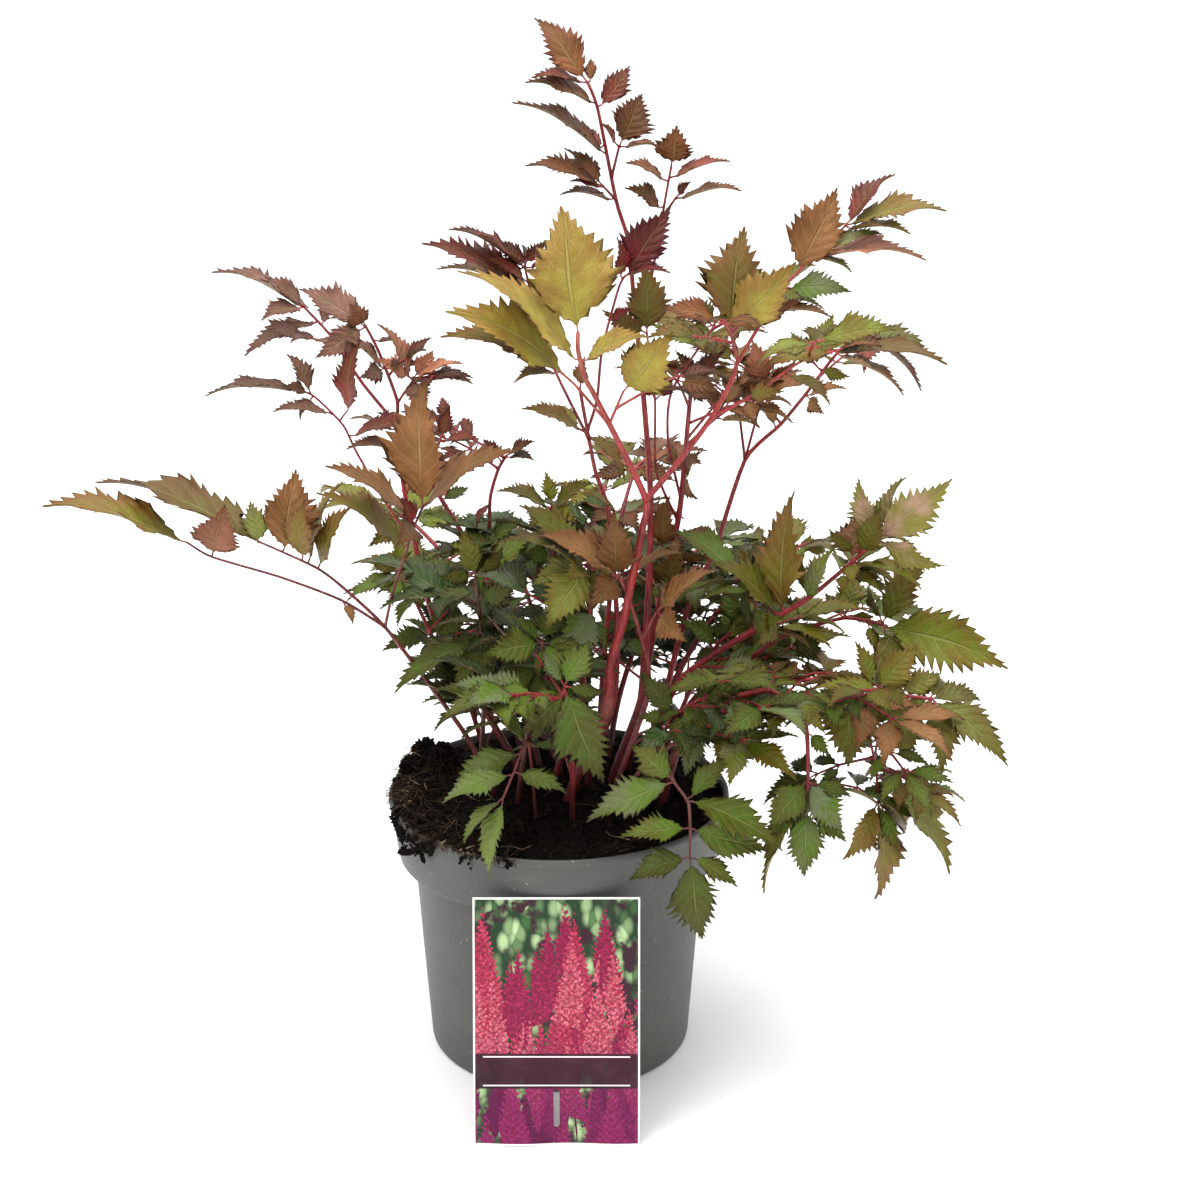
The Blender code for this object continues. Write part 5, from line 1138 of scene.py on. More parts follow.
def with_surface(s, group, grain, patch):
    """The shared unevenness at a grain size and a patch size, as (height, patches)."""
    made = s.tree.nodes.new("ShaderNodeGroup")
    made.node_tree = group
    made.inputs["Grain size"].default_value = grain
    made.inputs["Patch size"].default_value = patch
    return made.outputs["Height"], made.outputs["Patches"]


def attribute(s, name, colour=False):
    """A value that the mesh carries under a name."""
    made = s.tree.nodes.new("ShaderNodeAttribute")
    made.attribute_name = name
    return made.outputs["Vector" if colour else "Fac"]


def bumped(s, skin, height, strength, distance):
    """Gives a finish its fine relief."""
    made = s.tree.nodes.new("ShaderNodeBump")
    made.inputs["Strength"].default_value = strength
    made.inputs["Distance"].default_value = distance
    s.put(made.inputs["Height"], height)
    s.put(skin.inputs["Normal"], made.outputs["Normal"])


def leaf_look(surface):
    """Blade finish: side veins that run forward, sunk on top, a paler underside and a darker edge."""
    look, skin, s = look_of("leaf_blade", 0.42, specular=0.24)
    u, v, under = attribute(s, "along"), attribute(s, "across"), attribute(s, "underside")
    near, far = attribute(s, "near_colour", True), attribute(s, "far_colour", True)
    vary = attribute(s, "vary")
    grain, patch = with_surface(s, surface, 2600.0, 75.0)
    side = s.abs(v)
    # Distance from the nearest side vein, counted along the blade
    course = s.add(s.sub(s.mul(u, 7.5), s.mul(s.m("POWER", side, 1.15), 1.9)), s.mul(s.m("SIGN", v), 0.22))
    apart = s.abs(s.sub(s.m("FRACT", s.add(course, 10.0)), 0.5))
    vein = s.mul(s.ramp(apart, 0.435, 0.5), s.ramp(side, 0.75, 1.0, 1.0, 0.25))
    rib = s.ramp(side, 0.02, 0.06, 1.0, 0.0)
    net = s.ramp(s.cells(s.place(), 620.0, "DISTANCE_TO_EDGE").outputs["Distance"], 0.0, 0.16, 1.0, 0.0)
    # Redder to the edge and the tip, and greener at the midrib, in patches
    drift = s.add(s.mul(side, 0.16), s.add(s.mul(u, 0.22), s.mul(vary, 0.12)))
    blush = s.ramp(s.add(patch, drift), 0.50, 0.86)
    tone = s.mix(blush, near, far)
    green_heart = s.mul(s.ramp(side, 0.15, 0.75, 1.0, 0.0), s.ramp(patch, 0.38, 0.62), 0.30)
    tone = s.mix(green_heart, tone, s.mix(0.5, near, linear((98, 110, 28))))
    tone = s.mix(s.mul(s.ramp(side, 0.84, 1.0), 0.38), tone, s.mix(0.35, far, linear((62, 26, 10))))
    tone = s.mix(s.mul(net, 0.22), tone, s.mix(0.7, tone, (0.02, 0.015, 0.005)))
    tone = s.mix(s.mul(s.ramp(grain, 0.5, 0.8), 0.22), tone, s.times(tone, (0.45, 0.42, 0.4)))
    # A painted grey-blue sheen stands for the reflection of the bright air, in patches on some green leaflets and none
    # on the others
    parts = s.parts(near)
    green = s.ramp(s.sub(parts[1], parts[0]), 0.01, 0.05)
    painted_sheen = s.mul(green, s.ramp(vary, 0.05, 0.30, 1.0, 0.0), s.ramp(patch, 0.35, 0.6), 0.42)
    tone = s.mix(painted_sheen, tone, linear((118, 134, 110)))
    # Pale veins, a paler underside, and leaflets that differ in depth of colour
    lighter = s.mix(0.5, near, linear((200, 188, 128)))
    tone = s.mix(s.mul(s.m("MAXIMUM", s.mul(vein, 0.50), s.mul(rib, 0.85)), 0.58), tone, lighter)
    pale = s.mix(0.5, tone, linear((168, 144, 108)))
    tone = s.mix(s.mul(under, 0.7), tone, pale)
    tone = s.mix(s.mul(s.ramp(vary, 0.35, 1.0), 0.75), tone, s.times(tone, (0.46, 0.46, 0.42)))
    s.put(skin.inputs["Base Color"], tone)
    s.put(skin.inputs["Roughness"], s.ramp(s.add(grain, s.mul(under, 0.4)), 0.3, 0.9, 0.28, 0.62))
    raised, sunk = s.add(s.mul(grain, 0.18), s.mul(s.sub(0.5, apart), 0.9)), s.add(s.mul(rib, 0.9), s.mul(net, 0.14))
    bumped(s, skin, s.sub(raised, sunk), 0.9, 0.0010)
    return look


def stalk_look(surface):
    """Ribbed red skin with lengthwise streaks, dark at the foot, partly its own colour and partly painted shade under
    the leaves.
    """
    look, skin, s = look_of("leaf_stalk", 0.4, specular=0.45)
    near = attribute(s, "near_colour", True)
    grain, patch = with_surface(s, surface, 1400.0, 60.0)
    place = s.place()
    ribs = s.noise(s.v("MULTIPLY", place, (1500.0, 1500.0, 45.0)), 1.0, 2.0)
    tone = s.mix(s.ramp(patch, 0.35, 0.7), near, s.times(near, (0.50, 0.36, 0.38)))
    tone = s.mix(s.mul(s.ramp(ribs, 0.52, 0.66), 0.42), tone, s.mix(0.55, near, linear((206, 132, 112))))
    tone = s.mix(s.mul(s.ramp(ribs, 0.48, 0.36), 0.55), tone, s.times(near, (0.40, 0.25, 0.30)))
    # Darker near the compost: partly the stalks' own darker foot and partly painted shade under the crown of leaves
    foot = s.ramp(s.parts(place)[2], SOIL_TOP * MM, 0.215, 1.0, 0.0)
    tone = s.mix(s.mul(foot, 0.8), tone, linear((54, 16, 18)))
    s.put(skin.inputs["Base Color"], tone)
    s.put(skin.inputs["Roughness"], s.ramp(grain, 0.3, 0.7, 0.32, 0.52))
    bumped(s, skin, s.add(s.mul(grain, 0.4), ribs), 0.5, 0.0006)
    return look


def chance_of(*numbers):
    """A number from 0 to 1 that is always the same for the same numbers."""
    return (math.sin(sum(n * k for n, k in zip(numbers, (12.9898, 78.233, 37.719, 9.151)))) * 43758.5453) % 1.0


def meets(shape, solids):
    """Whether a leaflet's test body touches one of the solids."""
    body = BVHTree.FromPolygons(*body_of(shape))
    return any(body.overlap(solid) for solid in solids)


def thronged(order, name, leaflets, solids):
    """The traced leaflets with more of them standing in pairs at their feet."""
    share = THRONGED.get(name, THRONGED_ELSE)
    found = list(leaflets)
    for i, (root, base, tip, _, face, tone) in enumerate(leaflets):
        length = (tip - base).length
        if length < THRONGED_FROM:
            continue
        midrib = (tip - base).normalized()
        for side in (1, -1):
            luck = [chance_of(order, i, side, k) for k in range(6)]
            if luck[0] > share:
                continue
            way = rotated(midrib, side * (44.0 + 26.0 * luck[1]), face)
            way = (way + Vector((0, 0, -0.10 - 0.25 * luck[2]))).normalized()
            size = length * (0.52 + 0.26 * luck[3])
            new_face = rotated(squared(face, way), side * -18.0 + 50.0 * (luck[4] - 0.5), way)
            start = root.lerp(base, 0.35)
            new_base = start + way * (2.0 + 2.0 * luck[5])
            shape = (start, new_base, new_base + way * size, 0.5 * size, new_face)
            if not meets(shape, solids):
                found.append((*shape, tone))
    return found


def inside_view(outline, px, py):
    """Whether a point of the view lies inside an outline."""
    odd = False
    for (x0, y0), (x1, y1) in zip(outline, outline[1:] + outline[:1]):
        if (y0 > py) != (y1 > py) and px < x0 + (x1 - x0) * (py - y0) / (y1 - y0):
            odd = not odd
    return odd


def spray(order, attempt, luck, fork, end, out, lengths, slim, tone):
    """Five leaflets at the end of a side stalk."""
    ahead = (end - fork).normalized()
    found = []
    for k, (start, side, share) in enumerate(((end, 0, 1.0), (end, 1, 0.80), (end, -1, 0.82), (fork, 1, 0.66),
                                              (fork, -1, 0.64))):
        own = [chance_of(order, attempt, k, j * 2.3) for j in range(4)]
        up = (UP + out * 0.35 - Vector((0, 0.35, 0)) * own[0]).normalized()
        flat = ahead.cross(up).normalized()
        head = (ahead * (1.0 if side == 0 else 0.62) + flat * side * (0.85 + 0.3 * own[1])
                + Vector((0, 0, -0.30 * own[2]))).normalized()
        size = (lengths[0] + (lengths[1] - lengths[0]) * luck) * share * (0.9 + 0.25 * own[3])
        base = start + head * (2.5 + 1.5 * own[1])
        face = rotated(squared(up, head), 36.0 * (own[2] - 0.5), head)
        found.append((start, base, base + head * size, (slim + 0.12 * own[0]) * size, face, tone))
    return found


def sprays(order, name, paths, solids):
    """Side stalks with leaflets, as (paths, leaflets), where the plant is too dense to trace."""
    twigs, leaflets = [], []
    for place, (outline, lengths, slim, outer, inner, shares) in enumerate(SPRAY_PLACES):
        wanted = shares.get(name, shares.get("_".join(name.split("_")[:2]), 0))
        grown, attempt = 0, 0
        while grown < wanted and attempt < 40 * wanted:
            attempt += 1
            luck = [chance_of(order * 3.1 + place, attempt * 0.37, k * 1.9) for k in range(9)]
            points, _ = paths[0] if luck[0] < 0.7 else paths[int(luck[1] * len(paths))]
            at = (0.30 + 0.68 * luck[2]) * (len(points) - 1)
            i = min(int(at), len(points) - 2)
            here = points[i].lerp(points[i + 1], at - i)
            along = (points[i + 1] - points[i]).normalized()
            turn = 2 * math.pi * luck[3]
            out = Vector((math.cos(turn), math.sin(turn), 0.0))
            way = (out + along * 0.45 + Vector((0, 0, 0.5 * luck[4] - 0.1))).normalized()
            reach = 16.0 + 26.0 * luck[5]
            fork, end = here + way * reach * 0.6, here + way * reach + Vector((0, 0, -3.0 * luck[6]))
            if end.z < (SPRAY_LOW[1] if math.hypot(end.x, end.y) < SPRAY_LOW[0] else SPRAY_LOW[2]):
                continue
            if not inside_view(outline, *seen(end + (end - fork).normalized() * 14.0)):
                continue
            # Sprays deep in the mound or low by the crown take the darker inside tones, as painted shade
            tones = inner if math.hypot(end.x - 10, end.y - 10) < 78 or 150 < end.z < 215 else outer
            found = spray(order, attempt, luck[7], fork, end, out, lengths, slim,
                          tones[int(luck[8] * len(tones))])
            middles = [(v[1] + v[2]) / 2 for v in found] + [(here + end) / 2]
            if any(v.y < STALKS_SHOW[1] and inside_view(STALKS_SHOW[0], *seen(v)) for v in middles):
                continue
            if any(meets(leaflet[:5], solids) for leaflet in found):
                continue
            grown += 1
            twigs.append(([here, fork, end], [0.85, 0.7, 0.6]))
            leaflets += found
    return twigs, leaflets


def main_plant(surface):
    """The leaves: traced ones that clear each other and the solids, and the leaflets that crowd round them."""
    grown = grown_leaves()
    solids = []
    for node in ("pot", "soil", "label_card"):
        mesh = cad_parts[node].data
        mesh.calc_loop_triangles()
        solids.append(([v.co / MM for v in mesh.vertices], [tuple(t.vertices) for t in mesh.loop_triangles]))
    kept = cleared_leaflets(grown, solids)
    ground = [BVHTree.FromPolygons(*solid) for solid in solids]
    blade_look, stem_look = leaf_look(surface), stalk_look(surface)
    trees = [leaflet_tree(blade_look, *LARGE_BLADE), leaflet_tree(blade_look, *SMALL_BLADE)]
    for order, (name, paths, _) in enumerate(grown):
        leaflets = thronged(order, name, kept[name], ground)
        twigs, more = sprays(order, name, paths, ground)
        paths, leaflets = paths + twigs, leaflets + more
        parts = []
        for tree, large in zip(trees, (True, False)):
            some = [v for v in leaflets if ((v[2] - v[1]).length >= LARGE_FROM) == large]
            if some:
                seeds = leaflet_seeds(name, some, lambda i: chance_of(i, order, large))
                parts.append(grown_mesh(dressed(seeds, tree, **BLADE), name + "_blades"))
        parts.append(stalk_piece(name, paths, leaflets, stem_look, STALK_COLOURS.get(name, STALK_RED)))
        piece = joined(name.replace("leaf_", "foliage_"), parts)
        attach(piece, "root")
        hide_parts(name)


def around(radius, height, steps):
    """Points on a level ring."""
    return [(radius * MM * math.cos(2 * math.pi * k / steps), radius * MM * math.sin(2 * math.pi * k / steps),
             height * MM) for k in range(steps)]


def mesh_of(name, verts, faces):
    """A new mesh from its points and faces, in metres."""
    mesh = bpy.data.meshes.new(name)
    mesh.from_pydata(verts, [], faces)
    return mesh


def grid_mesh(name, verts, wide, keep=lambda i, j: True):
    """An open mesh of rows of points, so many faces wide, with the faces that are kept."""
    return mesh_of(name, verts, [(a, a + 1, a + wide + 2, a + wide + 1) for j in range(len(verts) // (wide + 1) - 1)
                                 for i in range(wide) if keep(i, j) for a in [j * (wide + 1) + i]])


def turned(name, profile, steps):
    """A body of revolution about Z from (radius, height) pairs that start and end on the axis."""
    verts, faces, rings = [], [], []
    for r, z in profile:
        ring = [(0.0, 0.0, z * MM)] if r < 1e-6 else around(r, z, steps)
        rings.append(range(len(verts), len(verts) + len(ring)))
        verts += ring
    for a, b in zip(rings, rings[1:]):
        for k in range(steps):
            n = (k + 1) % steps
            if len(a) == 1:
                faces.append((a[0], b[n], b[k]))
            elif len(b) == 1:
                faces.append((a[k], a[n], b[0]))
            else:
                faces.append((a[k], a[n], b[n], b[k]))
    made = homed(name, mesh_of(name, verts, faces))
    closed_up(made, True)
    return made


# The pot's outline, up the outside and down the inside, as (radius, height)
POT_LINE = [(0.0, 0.0), (68.0, 0.0), (70.5, 0.15), (72.2, 0.8), (73.2, 2.2), (73.6, 4.2), (75.0, 24.0), (77.4, 58.0),
            (79.6, 91.0), (80.9, 109.8), (81.3, 111.3), (82.4, 112.5), (84.0, 113.2), (87.2, 113.9), (88.9, 114.6),
            (89.7, 115.6), (90.1, 117.2), (91.3, 126.0), (92.5, 135.0), (93.6, 143.4), (94.0, 144.8), (94.8, 146.0),
            (95.0, 147.4), (94.9, 148.8), (94.3, 149.7), (93.5, 150.0), (92.7, 149.7), (92.1, 148.9), (91.3, 143.0),
            (88.0, 119.0), (87.5, 117.8), (86.6, 117.0), (81.0, 115.2), (79.8, 114.2), (79.0, 112.0), (71.7, 5.0),
            (71.0, 3.4), (69.6, 2.6), (0.0, 2.4)]
POT_STEPS = 144


def pot_piece(surface):
    """The pot: grey plastic with faint streaks and specks."""
    look, skin, s = look_of("pot_plastic_used", 0.5, linear((73, 75, 71)), specular=0.4)
    grain, patch = with_surface(s, surface, 900.0, 22.0)
    place = s.place()
    streaks = s.noise(s.v("MULTIPLY", place, (40.0, 40.0, 260.0)), 1.0, 4.0)
    specks = s.noise(s.scaled(place, 520.0), 1.0, 2.0)
    tone = s.mix(s.ramp(patch, 0.3, 0.7), linear((70, 71, 68)), linear((77, 78, 74)))
    tone = s.mix(s.mul(s.ramp(streaks, 0.62, 0.8), 0.25), tone, linear((108, 106, 98)))
    tone = s.mix(s.ramp(specks, 0.70, 0.76), tone, linear((150, 142, 124)))
    s.put(skin.inputs["Base Color"], tone)
    s.put(skin.inputs["Roughness"], s.ramp(grain, 0.2, 0.8, 0.42, 0.62))
    bumped(s, skin, s.add(grain, s.mul(patch, 0.4)), 0.10, 0.0004)
    pot = painted(turned("pot_shell", POT_LINE, POT_STEPS), look, True)
    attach(pot, "root")
    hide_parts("pot")


# Compost spills over the rim between these bearings, and hangs this far down. Fibres start earlier
SPILL_FROM, SPILL_TO, FIBRES_FROM = math.radians(196.0), math.radians(256.0), math.radians(150.0)
SPILL_DROP = 15.0
# The skirt that spilt crumbs cling to, over the rim, as (radius, height). Its last point hangs down
SPILL_LINE = [(86.0, 148.5), (92.5, 150.3), (95.4, 150.2), (96.0, 148.0)]
SPILL_STEPS, SPILL_R = 150, 95.9
# The bed of compost: how finely it is divided, how high it lies beyond a radius, and its wall inside the
# pot, the last two as (radius, height)
BED_STEPS, BED_RINGS, BED_REACH = 160, 46, 90.9
BED_EDGE = (89.5, 148.5)
BED_WALL = [(90.6, 143.0), (87.4, 119.2), (86.3, 117.6), (79.8, 115.2), (78.5, 111.8), (71.2, 5.0), (69.6, 2.8)]
BED_FLOOR = 2.8
# Lumps reach this far out, lie on the rim beyond the second radius, and go down to this height within it
LUMP_REACH, OVER_RIM, LUMP_FOOT = 93.0, 90.5, 141.0
# Lying fibres stay within the first radius, and hanging ones pass the rim outside the second
FIBRE_REACH, HANGING_R = 91.0, 96.4
# Half the side of the grid that crumbs lie on, and its faces along a side
GROUND_HALF, GROUND_STEPS = 96, 64
# Ragged chunks on the crest of the heap, given like the lumps
CREST_CHUNKS = [(-77.0, 27.0, 162.0, 6.0, 9.0, 5.5), (-84.0, 14.0, 157.5, 5.0, 8.0, 4.5),
                (-70.0, 40.0, 156.0, 7.0, 8.0, 4.0)]


def heap(x, y):
    """How far the compost is heaped up towards the lumps on the left."""
    return sum(h * 0.45 * math.exp(-((x - lx) / w) ** 2 - ((y - ly) / d) ** 2)
               for lx, ly, _, w, d, h in SOIL_LUMPS)


def crest(far):
    """Height of a heap as a share of its whole height, at a share of its reach: a blunt point, not a dome."""
    return max(0.0, 1.0 - far) ** 1.1


def crumb_tree(look, size_low, size_high, stretch):
    """Nodes that scatter small rough crumbs over a surface."""
    s, given, taken = group_of("crumbs", "Geometry", {"Ground": "Geometry", "Density": "Float", "Seed": "Int"},
                               {"Crumbs": "Geometry"})
    spread = s.tree.nodes.new("GeometryNodeDistributePointsOnFaces")
    for key, out in (("Mesh", "Ground"), ("Density", "Density"), ("Seed", "Seed")):
        s.put(spread.inputs[key], given[out])
    ball = s.tree.nodes.new("GeometryNodeMeshIcoSphere")
    ball.inputs["Radius"].default_value = 1.0
    ball.inputs["Subdivisions"].default_value = 1

    def drawn(low, high):
        made = s.tree.nodes.new("FunctionNodeRandomValue")
        made.data_type = "FLOAT_VECTOR"
        made.inputs[0].default_value, made.inputs[1].default_value = low, high
        return made.outputs[0]

    size = drawn((size_low, size_low, size_low * 0.7), (size_high * stretch, size_high, size_high * 0.7))
    turn = drawn((0.0, 0.0, 0.0), (6.28, 6.28, 6.28))
    placed = s.node("GeometryNodeInstanceOnPoints", spread.outputs["Points"], None, ball.outputs["Mesh"], None, None,
                    turn, size)
    real = s.node("GeometryNodeRealizeInstances", placed)
    s.put(taken[0], s.node("GeometryNodeSetMaterial", real, None, look))
    return s.tree


def peat_look(surface):
    """Nearly black peat with brown patches."""
    look, skin, s = look_of("peat", 0.9, linear((24, 20, 16)), specular=0.06)
    grain, patch = with_surface(s, surface, 700.0, 120.0)
    tone = s.mix(s.ramp(grain, 0.35, 0.7), linear((6, 5, 4)), linear((31, 24, 18)))
    tone = s.mix(s.mul(s.ramp(patch, 0.60, 0.74), 0.45), tone, linear((74, 54, 38)))
    s.put(skin.inputs["Base Color"], tone)
    bumped(s, skin, s.add(grain, patch), 0.9, 0.0025)
    return look


def rough(x, y, fine, layer):
    """Unevenness from -1 to 1, at so many bumps to the millimetre."""
    return noise.noise(Vector((x * fine, y * fine, layer)))


def peat_bed(look):
    """The bed of compost with its uneven top, closed by the wall and floor inside the pot."""
    verts, faces = [], []
    for ring in range(BED_RINGS + 1):
        r = BED_REACH * (ring / BED_RINGS)
        for k in range(BED_STEPS):
            turn = 2 * math.pi * k / BED_STEPS
            x, y = r * math.cos(turn), r * math.sin(turn)
            lumps = heap(x, y)
            z = soil_height(x, y) + lumps + 1.6 * rough(x, y, 0.09, 4.2)
            z += 1.8 * rough(x, y, 0.3, 1.2) + 0.9 * rough(x, y, 0.9, 7.0)
            # Level with the rim where the pot's wall begins
            if r > BED_EDGE[0] and lumps < 4.0:
                z = min(z, BED_EDGE[1])
            verts.append((x * MM, y * MM, z * MM))
    for r, z in BED_WALL:
        verts += around(r, z, BED_STEPS)
    verts.append((0.0, 0.0, BED_FLOOR * MM))
    for ring in range(BED_RINGS + len(BED_WALL)):
        a, b = ring * BED_STEPS, (ring + 1) * BED_STEPS
        faces += [(a + k, b + k, b + (k + 1) % BED_STEPS, a + (k + 1) % BED_STEPS) for k in range(BED_STEPS)]
    faces += [(b + k, len(verts) - 1, b + (k + 1) % BED_STEPS) for k in range(BED_STEPS)]
    bed = homed("peat_bed", mesh_of("peat_bed", verts, faces))
    closed_up(bed, True)
    return painted(bed, look, False)


def peat_lump(look, k, x, y, z, long, wide, high):
    """A heap with a blunt top, or a rough chunk, kept inside the rim and off the pot's wall."""
    bpy.ops.mesh.primitive_ico_sphere_add(subdivisions=5, radius=1.0)
    lump = bpy.context.object
    for vertex in lump.data.vertices:
        uneven = 1 + 0.22 * noise.noise(vertex.co * 2.3 + Vector((k * 5.0, 1.0, 2.0)))
        uneven += 0.20 * noise.noise(vertex.co * 5.0) + 0.14 * noise.noise(vertex.co * 12.0)
        rise = vertex.co.z
        if k >= len(SOIL_LUMPS):
            uneven += 0.5 * noise.noise(vertex.co * 3.5) + 0.3 * noise.noise(vertex.co * 9.0)
        elif rise > 0:
            rise = crest(math.hypot(vertex.co.x, vertex.co.y))
        place = Vector((vertex.co.x * long, vertex.co.y * wide, rise * high)) * uneven + Vector((x, y, z))
        far = math.hypot(place.x, place.y)
        if far > LUMP_REACH:
            place.x, place.y = place.x * LUMP_REACH / far, place.y * LUMP_REACH / far
        place.z = max(place.z, POT_HEIGHT + 0.2 if far > OVER_RIM else LUMP_FOOT)
        vertex.co = place * MM
    return painted(lump, look, False)


def soil_piece(surface):
    """Peat filling the pot, heaped over the rim on the left, with crumbs and root fibres."""
    look = peat_look(surface)
    pieces = [peat_bed(look)]
    pieces += [peat_lump(look, k, *lump) for k, lump in enumerate(SOIL_LUMPS + CREST_CHUNKS)]
    for name, ground, size_low, size_high, stretch, density, seed in (
            ("peat_crumbs", open_ground, 0.0006, 0.0019, 1.2, 65000.0, 3),
            ("peat_crumbs", open_ground, 0.0011, 0.0030, 1.6, 9000.0, 8),
            ("spilt_crumbs", spill_ground, 0.0005, 0.0017, 1.5, 150000.0, 5),
            ("spilt_crumbs", spill_ground, 0.0010, 0.0034, 1.5, 30000.0, 6)):
        tree = crumb_tree(look, size_low, size_high, stretch)
        pieces.append(grown_mesh(dressed(homed(name, ground()), tree, density=density, seed=seed), name))
    pieces += [fibres((50, 37, 28), 0, 110, 200, 0.24), fibres((98, 76, 56), 400, 40, 70, 0.20),
               fibres((176, 150, 118), 700, 10, 14, 0.20)]
    soil = joined("peat_compost", pieces)
    for polygon in soil.data.polygons:
        polygon.use_smooth = False
    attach(soil, "root")
    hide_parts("soil")


def ground_height(x, y):
    """Top of the compost, the lumps over the rim counted in."""
    z = soil_height(x, y) + heap(x, y)
    for lx, ly, lz, w, d, h in SOIL_LUMPS:
        off = math.hypot((x - lx) / w, (y - ly) / d)
        if off < 1.0:
            z = max(z, lz + h * crest(off))
    return z


def open_ground():
    """The surface that crumbs lie on, a little under the compost's top."""
    def at(i, j):
        return (2 * GROUND_HALF * i / GROUND_STEPS - GROUND_HALF, 2 * GROUND_HALF * j / GROUND_STEPS - GROUND_HALF)

    def inside(i, j):
        x, y = at(i + 0.5, j + 0.5)
        return math.hypot(x, y) < (92.0 if ground_height(x, y) > 151.5 and x < -60 else 89.0)

    places = [at(i, j) for j in range(GROUND_STEPS + 1) for i in range(GROUND_STEPS + 1)]
    verts = [(x * MM, y * MM, (ground_height(x, y) - 0.3) * MM) for x, y in places]
    return grid_mesh("ground", verts, GROUND_STEPS, inside)


def spill_height(turn):
    """How far compost hangs down outside the rim at a bearing, in millimetres."""
    share = max(0.0, math.sin(math.pi * min(1.0, max(0.0, (turn - SPILL_FROM) / (SPILL_TO - SPILL_FROM)))))
    ragged = noise.noise(Vector((turn * 7.0, 0.3, 0.8))) + 0.6 * noise.noise(Vector((turn * 23.0, 4.3, 0.8)))
    return SPILL_DROP * share ** 0.6 * (0.45 + 1.1 * ragged)


def spill_ground():
    """The ragged skirt of compost over the rim and down its outside, as the surface that crumbs cling to."""
    def bearing(k):
        return SPILL_FROM + (SPILL_TO - SPILL_FROM) * k / SPILL_STEPS

    verts = [(r * MM * math.cos(turn), r * MM * math.sin(turn), z * MM)
             for turn in map(bearing, range(SPILL_STEPS + 1))
             for r, z in SPILL_LINE + [(SPILL_R, SPILL_LINE[-1][1] - max(0.3, spill_height(turn)))]]
    # Beyond the rim the skirt is there only where compost hangs down
    return grid_mesh("spill", verts, len(SPILL_LINE), lambda i, k: i == 0 or spill_height(bearing(k + 0.5)) >= 1.0)


def lying_fibre(k):
    """A fibre that wanders over the compost, two in three of them on the left."""
    draw = [noise.noise(Vector(v)) for v in ((k * 3.1, 0.5, 0.2), (0.7, k * 2.7, 0.9), (0.2, 0.4, k * 4.3))]
    turn = 2 * math.pi * ((k * 0.618) % 1.0)
    r = 88.0 * math.sqrt((k * 0.37) % 1.0)
    x, y = r * math.cos(turn), r * math.sin(turn)
    if k % 3:
        x, y = -66 + 26 * draw[0] * 2, -18 + 80 * draw[1]
    way = turn * 3.0
    line = []
    for i in range(7):
        far = math.hypot(x, y)
        if far > FIBRE_REACH:
            x, y = x * FIBRE_REACH / far, y * FIBRE_REACH / far
        z = ground_height(x, y) + 0.9 + 2.8 * math.sin(i * 0.9 + k) * abs(draw[2])
        line.append((Vector((x, y, z)), 1.0 - 0.1 * i))
        way += 1.5 * noise.noise(Vector((k * 1.7, i * 0.8, 3.0)))
        x += 3.0 * math.cos(way)
        y += 3.0 * math.sin(way)
    return line


def hanging_fibre(k):
    """A fibre at the edge that stands out or hangs over the rim, clear of the pot."""
    luck = [chance_of(k, 5.5, j * 1.3) for j in range(7)]
    turn = FIBRES_FROM + (SPILL_TO - FIBRES_FROM) * luck[0]
    out = Vector((math.cos(turn), math.sin(turn), 0.0))
    aside = Vector((-out.y, out.x, 0.0)) * 1.6 * (luck[1] - 0.5)
    r = 78.0 + 14.0 * luck[2]
    here = Vector((out.x * r, out.y * r, max(POT_HEIGHT, ground_height(out.x * r, out.y * r)) + 0.4))
    long = 4.0 + 11.0 * luck[3] ** 2
    rise = 1.1 * luck[4] - 0.1
    line = []
    for t in (0.0, 0.25, 0.5, 0.75, 1.0):
        place = here + (out * (0.9 * t) + aside * (t + 0.5 * math.sin(5 * t + k))) * long
        place.z += long * (rise * t - (0.5 + 1.3 * luck[5]) * t * t)
        far = math.hypot(place.x, place.y)
        place.z = max(place.z, 143.5 + 5.0 * luck[5])
        if place.z < POT_HEIGHT + 0.6 and far < HANGING_R:
            place.x, place.y = place.x * HANGING_R / far, place.y * HANGING_R / far
        line.append((place, (1.1 - 0.7 * t) * (0.7 + 0.6 * luck[6])))
    return line


def fibres(colour, first, lying, hanging, thick):
    """Root and peat fibres of one colour, numbered from the first, some lying and some hanging."""
    look, skin, s = look_of("root_fibre", 0.75, linear(colour), specular=0.2)
    grain = s.noise(s.scaled(s.place(), 500.0), 1.0, 2.0)
    darker = linear([v * 0.6 for v in colour])
    s.put(skin.inputs["Base Color"], s.mix(s.ramp(grain, 0.35, 0.7), linear(colour), darker))
    lines = [lying_fibre(k) for k in range(first, first + lying)]
    lines += [hanging_fibre(k) for k in range(first, first + hanging)]
    return tubes("fibres", lines, thick, 0, look, False)


def card_slot():
    """The body that cuts the card's slot."""
    wide, long, high = CARD_SLOT
    bpy.ops.mesh.primitive_cylinder_add(vertices=24, radius=wide / 2, depth=10, rotation=(math.pi / 2, 0, 0))
    slot = bpy.context.object
    for vertex in slot.data.vertices:
        vertex.co.y += math.copysign((long - wide) / 2, vertex.co.y + 1e-6)
    slot.location.z = high
    bpy.context.view_layer.update()
    return slot


